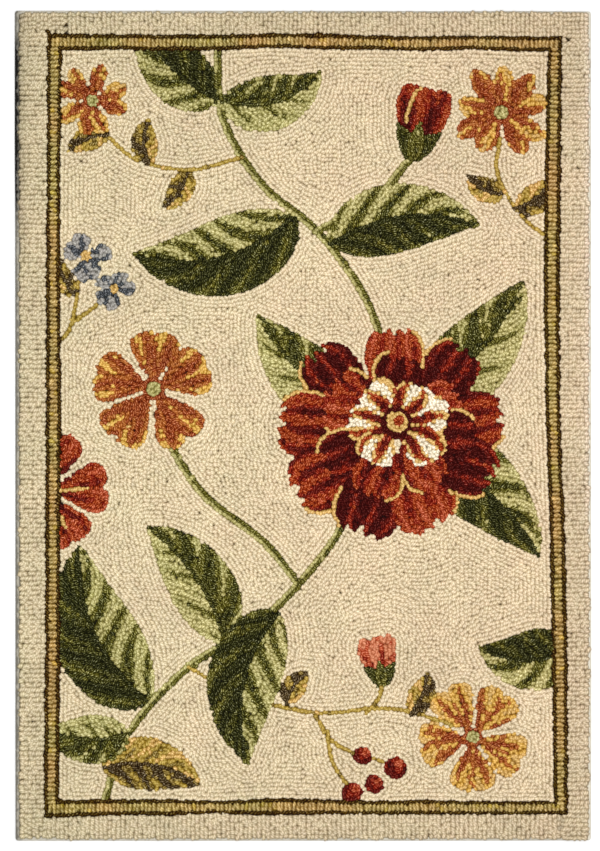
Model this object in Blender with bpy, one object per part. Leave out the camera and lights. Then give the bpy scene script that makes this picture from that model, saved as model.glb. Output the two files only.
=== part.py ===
"""Hooked scatter rug, lying flat with its pile up.

One foundation cloth carries a dense looped pile. Its edge is folded under, so a
narrow smooth hem shows all round, lower than the pile. The rug is centred on the
origin, its underside at z = 0, its long side along Y.
"""

import math

import bmesh
import bpy
from mathutils import Vector

# Driving dimensions, in metres.
RUG_WIDTH = 0.562
RUG_LENGTH = 0.810
SIDE_STEP = 0.030
CORNER_STEPS = 4

# The folded cloth: its height, the radius of its corners seen from above and the
# radius of the fold itself.
HEM_HEIGHT = 0.0040
HEM_CORNER = 0.0026
HEM_ROUNDING = 0.0011

# The pile stands up from inside the cloth, a hem's width in from its edge.
HEM_WIDTH = 0.0024
PILE_FOOT = 0.0010
PILE_HEIGHT = 0.0082
PILE_CORNER = 0.0034
PILE_ROUNDING = 0.0021

ROUNDING_STEPS = 2
WELD_DISTANCE = 0.000001

# How far each side strays outward from a true rectangle, in metres, at even
# spacing from one end to the other.
LEFT_STRAY = (-0.0003, -0.0002, -0.0002, -0.0002, -0.0001, 0.0000, 0.0005, 0.0004)
RIGHT_STRAY = (-0.0002, 0.0001, 0.0001, 0.0000, 0.0001, 0.0000, -0.0002, -0.0003)
FAR_STRAY = (0.0001, 0.0001, 0.0001, 0.0001, 0.0000, -0.0003, -0.0002, -0.0006)
NEAR_STRAY = (0.0001, 0.0001, 0.0002, 0.0001, 0.0001, 0.0001, 0.0000, -0.0003)

CREAM_YARN = (0.64, 0.52, 0.32, 1.0)
YARN_ROUGHNESS = 0.92


def clear_scene():
    for item in list(bpy.data.objects):
        bpy.data.objects.remove(item, do_unlink=True)


def stray_at(table, share):
    """The smooth value of a table of strays at a share of the way along a side."""
    place = min(max(share, 0.0), 1.0) * (len(table) - 1)
    low = min(int(place), len(table) - 2)
    ease = 0.5 - 0.5 * math.cos(math.pi * (place - low))
    return table[low] + (table[low + 1] - table[low]) * ease


def strayed(x, y):
    """Moves a point of the true rectangle out or in by the strays of its sides."""
    along_x = x / RUG_WIDTH + 0.5
    along_y = y / RUG_LENGTH + 0.5
    side = RIGHT_STRAY if x > 0 else LEFT_STRAY
    end = FAR_STRAY if y > 0 else NEAR_STRAY
    reach_x = abs(x) / (RUG_WIDTH / 2)
    reach_y = abs(y) / (RUG_LENGTH / 2)
    shift_x = math.copysign(stray_at(side, along_y), x) * reach_x
    shift_y = math.copysign(stray_at(end, along_x), y) * reach_y
    return Vector((x + shift_x, y + shift_y))


def corner_points(centre_x, centre_y, radius, start):
    """A rounded corner round its centre, counter-clockwise from an angle."""
    points = []
    for step in range(CORNER_STEPS + 1):
        angle = start + math.pi / 2 * step / CORNER_STEPS
        x = centre_x + radius * math.cos(angle)
        y = centre_y + radius * math.sin(angle)
        points.append((x, y))
    return points


def side_points(start, end):
    """Even points between two corners, without the corners themselves."""
    count = round(math.dist(start, end) / SIDE_STEP)
    points = []
    for step in range(1, count):
        share = step / count
        x = start[0] + (end[0] - start[0]) * share
        y = start[1] + (end[1] - start[1]) * share
        points.append((x, y))
    return points


def outline(inset, radius):
    """The rug's outline, or one inside it, counter-clockwise seen from above."""
    half_x = RUG_WIDTH / 2 - inset - radius
    half_y = RUG_LENGTH / 2 - inset - radius
    corners = [
        corner_points(half_x, half_y, radius, 0.0),
        corner_points(-half_x, half_y, radius, math.pi / 2),
        corner_points(-half_x, -half_y, radius, math.pi),
        corner_points(half_x, -half_y, radius, 3 * math.pi / 2),
    ]
    points = []
    for index, corner in enumerate(corners):
        following = corners[(index + 1) % len(corners)]
        points += corner
        points += side_points(corner[-1], following[0])
    return [strayed(x, y) for x, y in points]


def outline_middle():
    """The middle of the rug's box, which the strays move off the origin."""
    points = outline(0.0, HEM_CORNER)
    xs = [point.x for point in points]
    ys = [point.y for point in points]
    return Vector(((min(xs) + max(xs)) / 2, (min(ys) + max(ys)) / 2))


def filled_outline(name, points, thickness, rounding):
    """A filled 2D curve, extruded to a thickness, its two rims rounded over."""
    curve = bpy.data.curves.new(name, "CURVE")
    curve.dimensions = "2D"
    curve.fill_mode = "BOTH"
    curve.extrude = thickness / 2 - rounding
    curve.bevel_depth = rounding
    curve.bevel_resolution = ROUNDING_STEPS
    curve.offset = -rounding
    spline = curve.splines.new("POLY")
    spline.points.add(len(points) - 1)
    for point, place in zip(spline.points, points):
        point.co = (place.x, place.y, 0.0, 1.0)
    spline.use_cyclic_u = True
    return curve


def slab(name, inset, corner, foot, height, rounding):
    """A closed slab between two heights, an even inset inside the outline."""
    middle = outline_middle()
    points = [point - middle for point in outline(inset, corner)]
    curve = filled_outline(name + "_outline", points, height - foot, rounding)
    holder = bpy.data.objects.new(name + "_outline", curve)
    holder.location.z = (foot + height) / 2
    bpy.context.scene.collection.objects.link(holder)
    bpy.context.view_layer.update()
    evaluated = holder.evaluated_get(bpy.context.evaluated_depsgraph_get())
    mesh = bpy.data.meshes.new_from_object(evaluated)
    mesh.name = name
    weld(mesh)
    made = bpy.data.objects.new(name, mesh)
    made.matrix_world = holder.matrix_world.copy()
    bpy.data.objects.remove(holder, do_unlink=True)
    return made


def weld(mesh):
    """Joins the fill of a converted curve to its sides, each fill as one face."""
    shape = bmesh.new()
    shape.from_mesh(mesh)
    bmesh.ops.remove_doubles(shape, verts=shape.verts, dist=WELD_DISTANCE)
    merge_fill(shape, min(vert.co.z for vert in shape.verts))
    merge_fill(shape, max(vert.co.z for vert in shape.verts))
    bmesh.ops.recalc_face_normals(shape, faces=shape.faces)
    shape.to_mesh(mesh)
    shape.free()


def merge_fill(shape, height):
    """Makes one face of the triangles that fill the outline at a height."""
    fill = []
    for face in shape.faces:
        if all(abs(vert.co.z - height) < WELD_DISTANCE for vert in face.verts):
            fill.append(face)
    bmesh.ops.dissolve_faces(shape, faces=fill)


def yarn_material():
    material = bpy.data.materials.new("cream_yarn")
    material.use_nodes = True
    shader = material.node_tree.nodes["Principled BSDF"]
    shader.inputs["Base Color"].default_value = CREAM_YARN
    shader.inputs["Roughness"].default_value = YARN_ROUGHNESS
    shader.inputs["Metallic"].default_value = 0.0
    return material


def join_to(cloth, pile):
    """Makes the pile one body with the cloth that it is hooked into."""
    union = cloth.modifiers.new("hooked_in", "BOOLEAN")
    union.operation = "UNION"
    union.solver = "EXACT"
    union.object = pile
    pile.hide_render = True
    pile.display_type = "WIRE"


def new_collection(name):
    collection = bpy.data.collections.new(name)
    bpy.context.scene.collection.children.link(collection)
    return collection


def main():
    clear_scene()
    rug_parts = new_collection("hooked_rug")
    shapes = new_collection("joined_shapes")
    material = yarn_material()
    cloth = slab("hooked_rug", 0.0, HEM_CORNER, 0.0, HEM_HEIGHT, HEM_ROUNDING)
    pile = slab("pile", HEM_WIDTH, PILE_CORNER, PILE_FOOT, PILE_HEIGHT, PILE_ROUNDING)
    for shape in (cloth, pile):
        shape.data.materials.clear()
        shape.data.materials.append(material)
    rug_parts.objects.link(cloth)
    shapes.objects.link(pile)
    join_to(cloth, pile)


main()
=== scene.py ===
"""Hooked scatter rug, lying flat with its pile up, dressed loop by loop.

A maker draws the frame lines, stems, leaves and flowers on a foundation cloth, hooks
short wool loops along the drawn lines and then fills the rest in rows. This script
works the same way: it draws the pattern, plans a place for each loop, and sets one
small knob of yarn there. Places on the cloth are in millimetres from its middle, +y
towards the far end; meshes are in metres.
"""

import math
from collections import namedtuple
from functools import lru_cache

import bmesh
import bpy
import numpy as np
from bpy.props import FloatProperty, FloatVectorProperty, PointerProperty
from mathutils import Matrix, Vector
from mathutils.kdtree import KDTree


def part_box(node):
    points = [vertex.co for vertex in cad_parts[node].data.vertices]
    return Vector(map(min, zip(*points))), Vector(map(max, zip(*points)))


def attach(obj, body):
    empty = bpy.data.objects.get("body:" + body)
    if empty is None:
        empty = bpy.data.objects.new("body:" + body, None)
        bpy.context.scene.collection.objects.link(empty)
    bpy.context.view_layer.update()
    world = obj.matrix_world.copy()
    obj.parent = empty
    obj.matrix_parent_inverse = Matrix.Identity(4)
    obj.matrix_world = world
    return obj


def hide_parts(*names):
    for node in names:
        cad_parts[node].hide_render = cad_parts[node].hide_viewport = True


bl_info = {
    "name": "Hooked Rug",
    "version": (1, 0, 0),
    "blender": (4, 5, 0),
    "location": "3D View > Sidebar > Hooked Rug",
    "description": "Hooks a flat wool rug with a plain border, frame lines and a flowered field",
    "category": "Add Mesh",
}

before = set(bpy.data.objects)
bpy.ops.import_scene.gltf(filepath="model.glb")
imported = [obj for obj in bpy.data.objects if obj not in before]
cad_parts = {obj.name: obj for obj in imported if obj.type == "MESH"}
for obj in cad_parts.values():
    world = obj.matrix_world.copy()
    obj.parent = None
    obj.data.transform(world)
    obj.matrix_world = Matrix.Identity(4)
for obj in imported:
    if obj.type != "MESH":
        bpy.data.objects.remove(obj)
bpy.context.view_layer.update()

# The rug is one node that rides on one body.
NODE = "hooked_rug"
BODY = "root"
MM = 0.001
SEED = 1801

# ---------------------------------------------------------------- the cloth's outline

rug_low, rug_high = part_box(NODE)
RUG_WIDTH = rug_high.x - rug_low.x
RUG_LENGTH = rug_high.y - rug_low.y
PILE_TOP = rug_high.z
# Half the width and the length, in millimetres, for places on the cloth.
HALF_X = RUG_WIDTH / MM / 2
HALF_Y = RUG_LENGTH / MM / 2

# How far each side strays outward from a true rectangle, in metres, at even spacing
# from one end to the other: near to far for the sides, left to right for the ends.
LEFT_STRAY = (-0.0003, -0.0002, -0.0002, -0.0002, -0.0001, 0.0000, 0.0005, 0.0004)
RIGHT_STRAY = (-0.0002, 0.0001, 0.0001, 0.0000, 0.0001, 0.0000, -0.0002, -0.0003)
FAR_STRAY = (0.0001, 0.0001, 0.0001, 0.0001, 0.0000, -0.0003, -0.0002, -0.0006)
NEAR_STRAY = (0.0001, 0.0001, 0.0002, 0.0001, 0.0001, 0.0001, 0.0000, -0.0003)

# ---------------------------------------------------------------- the frame lines

# Two brown rows run round the field with a gold band between them. Each row wanders a
# little, so its distance from the rug's middle lines is given at even stations.
FrameLine = namedtuple("FrameLine", "left right far near")
SIDE_STATIONS = np.linspace(-335.7, 366.9, 7)
END_STATIONS = np.linspace(-226.4, 212.6, 10)
OUTER_LINE = FrameLine(
    left=(-250.7, -249.8, -249.3, -248.8, -248.8, -247.8, -247.8),
    right=(256.6, 256.1, 253.7, 248.8, 248.8, 249.8, 250.7),
    far=(380.9, 379.9, 379.9, 379.9, 380.9, 380.9, 379.0, 378.0, 379.0, 378.0),
    near=(-380.1, -378.2, -378.2, -376.2, -378.2, -377.2, -377.2, -377.2, -377.2, -377.2),
)
INNER_LINE = FrameLine(
    left=(-240.0, -239.0, -239.0, -238.0, -239.0, -239.0, -237.1),
    right=(246.8, 244.9, 242.9, 239.0, 237.1, 238.0, 241.0),
    far=(368.2, 369.2, 368.2, 368.2, 371.2, 369.2, 369.2, 368.2, 369.2, 367.3),
    near=(-367.4, -366.5, -366.5, -368.4, -365.5, -366.5, -368.4, -367.4, -368.4, -368.4),
)
LINE_SPACING = 3.8
LINE_FULLNESS = 1.12
# The gold band is two rows of rungs, at these shares of the way from line to line.
GOLD_SHARES = (0.345, 0.655)
SIDE_RUNG_PITCH = 4.25
END_RUNG_PITCH = 3.9
RUNG_FULLNESS = 1.08
RUNG_STRETCH = 1.08
# How far a hand sets loops off their row, across it and along it.
LINE_WANDER = (0.45, 0.4)
RUNG_WANDER = (0.2, 0.25)
# Loops that strayed off the frame. The loops of the band keep clear of them.
Stray = namedtuple("Stray", "x y angle yarn fullness stretch")
STRAY_LOOPS = (
    Stray(258.3, 377.4, -0.74, "bark", 0.56, 1.45),
    Stray(-249.4, 384.2, -0.40, "brown", 1.00, 1.0),
    Stray(-231.4, 391.6, 2.20, "brown", 0.60, 1.0),
)
STRAY_PLACES = np.array([(stray.x, stray.y) for stray in STRAY_LOOPS])
STRAY_ROOM = 2.2

# The plain band outside the lines is hooked in short rows that point at the edge, from
# a start to an end. Where the rows of two sides meet, a seam shows. edge_gap is how far
# the outermost loops stay inside the rug's outline, LINE_GAP the innermost off the line.
FAR_SEAM_X = -230.0
NEAR_SEAM_X = 251.7
Band = namedtuple("Band", "row_pitch edge_gap fullness start end")
LEFT_BAND = Band(row_pitch=4.7, edge_gap=6.8, fullness=1.08, start=-381.0, end=382.0)
RIGHT_BAND = Band(row_pitch=4.4, edge_gap=4.2, fullness=1.08, start=3.2 - HALF_Y, end=381.0)
FAR_BAND = Band(row_pitch=4.15, edge_gap=3.7, fullness=1.04, start=FAR_SEAM_X + 2.0, end=252.0)
NEAR_BAND = Band(row_pitch=4.3, edge_gap=4.0, fullness=1.07, start=-252.0, end=NEAR_SEAM_X - 1.8)
BAND_SPACING = 3.95
LINE_GAP = 4.2
SEAM_GAP = 2.2
# How unevenly the band is hooked: how each row drifts from the one before, the play of
# a row's two ends outward, and how far its loops stray across it and along it.
ROW_DRIFT = 0.22
MOST_ROW_DRIFT = 1.2
INNER_END_PLAY = (-0.5, 0.8)
OUTER_END_PLAY = (-1.1, 0.3)
BAND_WANDER = (0.27, 0.42)
# The corners of the band are filled in without rows: left, near, right and far limits.
CORNER_BLOCKS = (
    (-274.2, 384.4, FAR_SEAM_X - SEAM_GAP, 401.3),
    (255.6, 384.6, 276.6, 401.3),
    (-274.2, -401.2, -255.6, -384.6),
)

# ---------------------------------------------------------------- loops and rows

LOOP_SPACING = 3.86
LOOPS_PER_PIECE = 6800
# The grid that the pattern is drawn on: its step and how far it reaches each way.
DRAWING_STEP = 0.5
DRAWING_REACH = (262.0, 388.0)
# The loops of a drawn line stand a little closer than the others, and stray a little.
ROW_SPACING = LOOP_SPACING * 0.97
ROW_WANDER = 0.22
# The least gap between a loop and those that are hooked before it: along drawn lines,
# for loops that are yet to settle and for settled ones.
CLOSEST = 2.9
CLOSEST_START = CLOSEST * 0.86
CLOSEST_SETTLED = CLOSEST * 0.93
# The box round the field that is filled with loops, and how far they start off a grid.
FIELD_BOX = (-244.0, -374.0, 252.0, 376.0)
START_PLAY = LOOP_SPACING / 4
# The loops settle, the holes left between them are filled, and they settle again. In
# each step loops nearer than REACH push each other apart.
SETTLING = (26, 8)
REACH = 4.20
PUSH = 0.42
LEAST_PUSHED_GAP = 0.4
TOUCHING = 1e-6
LONGEST_MOVE = 0.9
# They are pulled into rows that echo the outlines: most in the first rows beside an
# outline, and less in each row after until only the least pull is left.
ROW_PULL = 0.44
LEAST_PULL = 0.06
PULL_ROWS = 2.2
PULL_START = 1.6
# A hole is a place on a close grid that is this far from any loop.
HOLE_GAP = 2.75
HOLE_STEP = 1.5

# ---------------------------------------------------------------- yarns


def linear(value):
    """A colour channel of 0 to 255, as seen, made linear by the sRGB rule."""
    share = value / 255
    if share <= 0.04045:
        return share / 12.92
    return ((share + 0.055) / 1.055) ** 2.4


# Neighbouring loops shade each other, so the yarn itself is lighter than the pile.
YARN_GAIN = 1.18
YARN_MOST = 0.93


def colour_setting(name, description, default):
    """A setting for a colour."""
    return FloatVectorProperty(
        name=name, description=description, subtype="COLOR", size=3, min=0.0, max=1.0, default=default
    )


def setting(name, description, default, unit="NONE"):
    """A setting for a number."""
    return FloatProperty(name=name, description=description, default=default, unit=unit)


def yarn_colour(name, description, red, green, blue):
    """A setting for the colour of one yarn, from the colour that its pile shows."""
    pile = (linear(red), linear(green), linear(blue))
    yarn = tuple(min(channel * YARN_GAIN, YARN_MOST) for channel in pile)
    return colour_setting(name, description, yarn)


class RugYarns(bpy.types.PropertyGroup):
    """The colours of wool that the rug is hooked in."""

    cream: yarn_colour("Cream", "Ground of the flowered field", 203, 186, 155)
    border: yarn_colour("Border", "Plain band round the rug", 191, 175, 145)
    brown: yarn_colour("Brown", "Two rows that frame the field", 53, 34, 0)
    gold: yarn_colour("Gold", "Band between the brown rows", 160, 136, 84)
    deep_green: yarn_colour("Deep Green", "Darkest strokes of the leaves", 42, 42, 10)
    dark_green: yarn_colour("Dark Green", "Shaded half of the leaves", 61, 59, 15)
    mid_green: yarn_colour("Mid Green", "Half tones of leaves and stems", 90, 85, 30)
    sage: yarn_colour("Sage", "Lit half of the leaves", 158, 150, 97)
    pale_sage: yarn_colour("Pale Sage", "Lightest strokes of the leaves", 176, 167, 115)
    olive: yarn_colour("Olive", "Small golden leaves", 160, 135, 66)
    dark_olive: yarn_colour("Dark Olive", "Shaded half of the golden leaves", 118, 98, 46)
    bark: yarn_colour("Bark", "Darkest strokes of the golden leaves", 69, 54, 28)
    maroon: yarn_colour("Maroon", "Deep folds of the large bloom", 58, 8, 5)
    crimson: yarn_colour("Crimson", "Shaded petals of the large bloom", 85, 18, 9)
    red: yarn_colour("Red", "Petals and berries", 119, 32, 11)
    rust: yarn_colour("Rust", "Lit petals of the large bloom", 140, 57, 22)
    petal_gold: yarn_colour("Petal Gold", "Edges of the petals", 190, 155, 94)
    ivory: yarn_colour("Ivory", "Pale heart of the large bloom", 216, 204, 179)
    orange: yarn_colour("Orange", "Petals of the middle blossoms", 151, 88, 41)
    amber: yarn_colour("Amber", "Lit petals of the middle blossoms", 193, 153, 78)
    burnt_orange: yarn_colour("Burnt Orange", "Folds of the middle blossoms", 133, 65, 30)
    pale_blue: yarn_colour("Pale Blue", "Petals of the small blue flowers", 147, 142, 136)
    slate: yarn_colour("Slate", "Folds of the small blue flowers", 72, 74, 77)
    rose: yarn_colour("Rose", "Pale buds", 185, 117, 86)
    coral: yarn_colour("Coral", "Lit side of buds and berries", 160, 76, 48)


YARNS = tuple(RugYarns.__annotations__)
YARN_INDEX = {name: index for index, name in enumerate(YARNS)}

# A yarn that is hooked together with others: which, and for what share of its loops.
MIXED_YARNS = {
    "orange": (("amber", 0.04), ("burnt_orange", 0.05)),
    "amber": (("orange", 0.05), ("petal_gold", 0.03)),
    "burnt_orange": (("orange", 0.05),),
    "rust": (("red", 0.07), ("coral", 0.03)),
    "red": (("crimson", 0.06), ("rust", 0.05)),
    "crimson": (("maroon", 0.07), ("red", 0.05)),
    "maroon": (("crimson", 0.08),),
    "sage": (("pale_sage", 0.06),),
    "pale_sage": (("sage", 0.12),),
    "dark_green": (("deep_green", 0.10), ("mid_green", 0.05)),
    "mid_green": (("dark_green", 0.07), ("sage", 0.02)),
    "olive": (("petal_gold", 0.03), ("dark_olive", 0.05)),
    "dark_olive": (("olive", 0.06), ("bark", 0.06)),
    "rose": (("coral", 0.05),),
    "gold": (("olive", 0.05),),
}

# The loops are gathered in pieces by what they picture.
BORDER, LINES, GROUND, STEMS, LEAVES, BLOOM, BLOSSOMS = range(7)

# The wool of each motif: how much light reaches its foot, how much its fibres and its
# strands show, how deep the shade between loops is and how far loops differ from it.
Wool = namedtuple("Wool", "foot_light fibre strand depth unevenness")
WOOLS = {
    BORDER: Wool(0.86, 2.3, 2.0, 1.7, 0.04),
    LINES: Wool(0.55, 7.0, 2.7, 3.2, 0.13),
    GROUND: Wool(0.86, 2.0, 1.85, 1.7, 0.04),
    STEMS: Wool(0.62, 5.8, 2.3, 2.4, 0.07),
    LEAVES: Wool(0.62, 7.4, 2.7, 2.5, 0.06),
    BLOOM: Wool(0.66, 5.2, 2.2, 2.1, 0.05),
    BLOSSOMS: Wool(0.66, 5.4, 2.3, 2.2, 0.05),
}


class RugSizes(bpy.types.PropertyGroup):
    """The sizes of the cloth and its loops."""

    hem_height: setting("Hem Height", "Height of the folded edge of the cloth", 0.0040, "LENGTH")
    hem_width: setting(
        "Hem Width", "Width of the folded edge that stands up beside the pile", 0.0036, "LENGTH"
    )
    cloth_height: setting(
        "Cloth Height", "Height of the cloth's upper side under the pile", 0.0020, "LENGTH"
    )
    turning: setting("Turning", "How far the cloth is turned under at its edge", 0.026, "LENGTH")
    pile_height: setting("Pile Height", "Height of the loops above the floor", PILE_TOP, "LENGTH")
    loop_radius: setting("Loop Radius", "Half the width of one loop", 0.00300, "LENGTH")


class RugStage(bpy.types.PropertyGroup):
    """The floor, the light and the camera."""

    floor_colour: colour_setting("Floor Colour", "Colour of the pale floor", (0.96, 0.96, 0.96))
    key_power: setting("Key Power", "Power of the soft light from the right", 7.9, "POWER")
    top_power: setting("Top Power", "Power of the soft light from above", 46.0, "POWER")
    air_strength: setting("Air Strength", "Strength of the even light from all round", 0.40)
    camera_lens: setting("Camera Lens", "Focal length for the frame's long side, in millimetres", 120.0)


# ---------------------------------------------------------------- curves on the cloth

PATH_STEP = 1.0
CURVE_STEPS = 24
# The share of a spine to each side of a place that gives its direction there.
TANGENT_SHARE = 0.01
# Stands in for a length of nothing where another is divided by it.
TINY = 1e-9


def place(x, y):
    return np.array((x, y), float)


def heading(degrees):
    """The unit step in a direction, counter-clockwise from +x."""
    angle = math.radians(degrees)
    return np.array((math.cos(angle), math.sin(angle)))


def resampled(path, spacing):
    """A path at even steps, as near to a spacing as its length allows."""
    steps = np.hypot(*np.diff(path, axis=0).T)
    reach = np.concatenate(([0.0], np.cumsum(steps)))
    count = max(2, round(reach[-1] / spacing) + 1)
    wanted = np.linspace(0.0, reach[-1], count)
    return np.column_stack([np.interp(wanted, reach, path[:, axis]) for axis in (0, 1)])


def smooth_path(points):
    """A smooth path through given points, at steps of about a millimetre."""
    points = np.array(points, float)
    padded = np.vstack((2 * points[0] - points[1], points, 2 * points[-1] - points[-2]))
    runs = []
    share = np.linspace(0.0, 1.0, CURVE_STEPS, endpoint=False)[:, None]
    for before, start, end, after in zip(padded, padded[1:], padded[2:], padded[3:]):
        runs.append(
            0.5
            * (
                2 * start
                + (end - before) * share
                + (2 * before - 5 * start + 4 * end - after) * share**2
                + (3 * start - before - 3 * end + after) * share**3
            )
        )
    runs.append(points[-1:])
    return resampled(np.vstack(runs), PATH_STEP)


def left_of(path):
    """For each point of a path, the unit step to its left."""
    along = np.gradient(path, axis=0)
    along /= np.maximum(np.hypot(along[:, 0], along[:, 1]), TINY)[:, None]
    return np.column_stack((-along[:, 1], along[:, 0]))


# A leaf, petal or stroke: a bowed spine from base to tip with a width that swells and
# falls again. rise and fall shape the base and the tip: below 0.5 blunt, near 1 sharp.
Blade = namedtuple("Blade", "base tip bow half_width rise fall")
SPINE_STEPS = 28
# How many notches a ragged tip has in half its width, and how much of their depth they
# lose towards the blade's edges.
NOTCHES = 1.6
NOTCH_LOSS = 0.5


def spine(blade, shares):
    base = np.asarray(blade.base, float)
    tip = np.asarray(blade.tip, float)
    run = tip - base
    left = place(-run[1], run[0]) / max(np.hypot(*run), TINY)
    middle = (base + tip) / 2 + left * blade.bow * 2
    shares = np.asarray(shares, float)[..., None]
    return base * (1 - shares) ** 2 + middle * 2 * shares * (1 - shares) + tip * shares**2


def half_widths(blade, shares):
    """The half width of a blade at shares of its spine, fullest at half_width."""
    widest = blade.rise / (blade.rise + blade.fall)
    most = widest**blade.rise * (1 - widest) ** blade.fall
    shares = np.clip(shares, 0.0, 1.0)
    return blade.half_width * shares**blade.rise * (1 - shares) ** blade.fall / most


def on_blade(blade, share, side):
    """The place at a share of the spine, and from -1 to 1 across to the left edge."""
    ends = spine(blade, (max(share - TANGENT_SHARE, 0.0), min(share + TANGENT_SHARE, 1.0)))
    along = (ends[1] - ends[0]) / max(np.hypot(*(ends[1] - ends[0])), TINY)
    left = place(-along[1], along[0])
    return spine(blade, share) + left * half_widths(blade, share) * side


def edge_path(blade, start, end, side):
    """A path along one side of a blade, between two shares of its spine."""
    shares = np.linspace(start, end, CURVE_STEPS)
    return smooth_path([on_blade(blade, share, side) for share in shares])


# ---------------------------------------------------------------- the drawn pattern


def station_value(stations, table, at):
    return np.interp(at, stations, table)


def inside_line(line, x, y, inset):
    """Whether places lie inside a frame line, by at least an inset."""
    return (
        (x > station_value(SIDE_STATIONS, line.left, y) + inset)
        & (x < station_value(SIDE_STATIONS, line.right, y) - inset)
        & (y < station_value(END_STATIONS, line.far, x) - inset)
        & (y > station_value(END_STATIONS, line.near, x) + inset)
    )


def ripple(phase):
    """A wave from 0 up to 1 and back again in each whole step of a phase."""
    return 1 - np.abs(2 * (phase % 1.0) - 1)


# How far round a blade's spine it is looked for, beside its own width, how far along
# the spine one of its points speaks for, in steps, and its least half width.
BLADE_MARGIN = 2.0
POINT_REACH = 0.6
LEAST_HALF_WIDTH = 0.01


class Drawing:
    """The pattern drawn on the cloth: for each place its yarn, shape, owner and motif.

    A shape is anything with an outline that rows follow. Its owner is the leaf or
    petal that it belongs to, so that strokes stay inside their leaf or petal.
    """

    def __init__(self):
        self.x, self.y = (np.arange(-reach, reach, DRAWING_STEP) for reach in DRAWING_REACH)
        grid_x, grid_y = np.meshgrid(self.x, self.y)
        field = inside_line(INNER_LINE, grid_x, grid_y, LOOP_SPACING / 2)
        self.yarn = np.where(field, YARN_INDEX["cream"], YARN_INDEX["brown"]).astype(np.uint8)
        self.shape = np.where(field, 0, -1).astype(np.int32)
        self.owner = self.shape.copy()
        self.motif = np.where(field, GROUND, LINES).astype(np.uint8)
        self.count = 0
        self.rows = []
        self.random = np.random.default_rng(SEED)

    def window(self, low, high):
        """The part of the drawing between two corners, with its places."""
        columns = slice(*np.searchsorted(self.x, (low[0], high[0])))
        lines = slice(*np.searchsorted(self.y, (low[1], high[1])))
        grid_x, grid_y = np.meshgrid(self.x[columns], self.y[lines])
        return (lines, columns), grid_x, grid_y

    def fill(self, part, inside, yarn, motif, owner=None):
        """Paints places of a part: within one owner, or else over all but the frame."""
        inside = inside & (self.owner[part] == owner if owner else self.shape[part] >= 0)
        self.yarn[part][inside] = YARN_INDEX[yarn]
        self.shape[part][inside] = self.count
        self.motif[part][inside] = motif
        if not owner:
            self.owner[part][inside] = self.count

    def places_in(self, blade):
        """Where a blade lies: the part of the drawing, and for each place there the
        share along the blade, from -1 to 1 across it to the left, and whether inside."""
        shares = np.linspace(0.0, 1.0, SPINE_STEPS)
        points = spine(blade, shares)
        margin = blade.half_width + BLADE_MARGIN
        part, x, y = self.window(points.min(axis=0) - margin, points.max(axis=0) + margin)
        away = np.full(x.shape, np.inf, np.float32)
        share = np.zeros(x.shape, np.float32)
        offset = np.zeros(x.shape, np.float32)
        normals = left_of(points)
        step = np.hypot(*np.diff(points, axis=0).T).mean()
        for index, (point, left) in enumerate(zip(points, normals)):
            step_x = x - point[0]
            step_y = y - point[1]
            distance = step_x**2 + step_y**2
            nearer = distance < away
            away[nearer] = distance[nearer]
            along = (step_x * left[1] - step_y * left[0]) / step
            along = np.clip(along, -POINT_REACH, POINT_REACH)
            share[nearer] = (index + along)[nearer] / (SPINE_STEPS - 1)
            offset[nearer] = (step_x * left[0] + step_y * left[1])[nearer]
        across = offset / np.maximum(half_widths(blade, share), LEAST_HALF_WIDTH)
        inside = (np.abs(across) < 1) & (share > 0) & (share < 1)
        inside &= away < (blade.half_width + step) ** 2
        return part, share, across, inside

    def blade(self, blade, yarns, motif, tone=None, owner=None, ragged=0.0):
        """Paints a blade: in one yarn, or in yarns from dark to pale by their tone.

        The tone is a function of the share along the blade and of the place across it.
        ragged is the share of the blade that the notches of its tip are deep.
        """
        part, share, across, inside = self.places_in(blade)
        if ragged:
            notches = ripple(NOTCHES * across + self.random.uniform())
            inside &= share < 1 - ragged * notches * (1 - np.abs(across) * NOTCH_LOSS)
        self.count += 1
        self.fill(part, inside, yarns[0], motif, owner)
        owner = owner or self.count
        if tone:
            level = np.clip((tone(share, across) * len(yarns)).astype(int), 0, len(yarns) - 1)
            for number, yarn in enumerate(yarns):
                self.count += 1
                self.fill(part, inside & (level == number), yarn, motif, owner)
        return owner

    def spot(self, centre, radius, yarn, motif, owner):
        """Paints a round spot as part of the newest shape."""
        reach = radius + DRAWING_STEP
        part, x, y = self.window(centre - reach, centre + reach)
        inside = np.hypot(x - centre[0], y - centre[1]) < radius
        self.fill(part, inside, yarn, motif, owner)

    def disc(self, centre, radius, yarn, motif, owner=None):
        """Paints a disc as a shape of its own."""
        self.count += 1
        self.spot(centre, radius, yarn, motif, owner)
        return owner or self.count

    def row(self, path, yarn, motif, owner=None):
        """Draws a line that is hooked as one row of loops, and remembers it."""
        self.count += 1
        path = resampled(path, PATH_STEP)
        for point in path:
            self.spot(point, LOOP_SPACING / 2, yarn, motif, owner)
        self.rows.append((self.count, path))

    def look_up(self, points):
        """The yarn, shape and motif at places on the cloth."""
        column = np.rint((points[:, 0] - self.x[0]) / DRAWING_STEP).astype(int)
        line = np.rint((points[:, 1] - self.y[0]) / DRAWING_STEP).astype(int)
        column = np.clip(column, 0, len(self.x) - 1)
        line = np.clip(line, 0, len(self.y) - 1)
        return self.yarn[line, column], self.shape[line, column], self.motif[line, column]

    def outlines(self):
        """The places where one shape ends and the next begins."""
        found = []
        lines, columns = np.nonzero(self.shape[:, 1:] != self.shape[:, :-1])
        found.append(np.column_stack((self.x[columns] + DRAWING_STEP / 2, self.y[lines])))
        lines, columns = np.nonzero(self.shape[1:, :] != self.shape[:-1, :])
        found.append(np.column_stack((self.x[columns], self.y[lines] + DRAWING_STEP / 2)))
        return np.vstack(found)


# ---------------------------------------------------------------- leaves and stems

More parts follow.
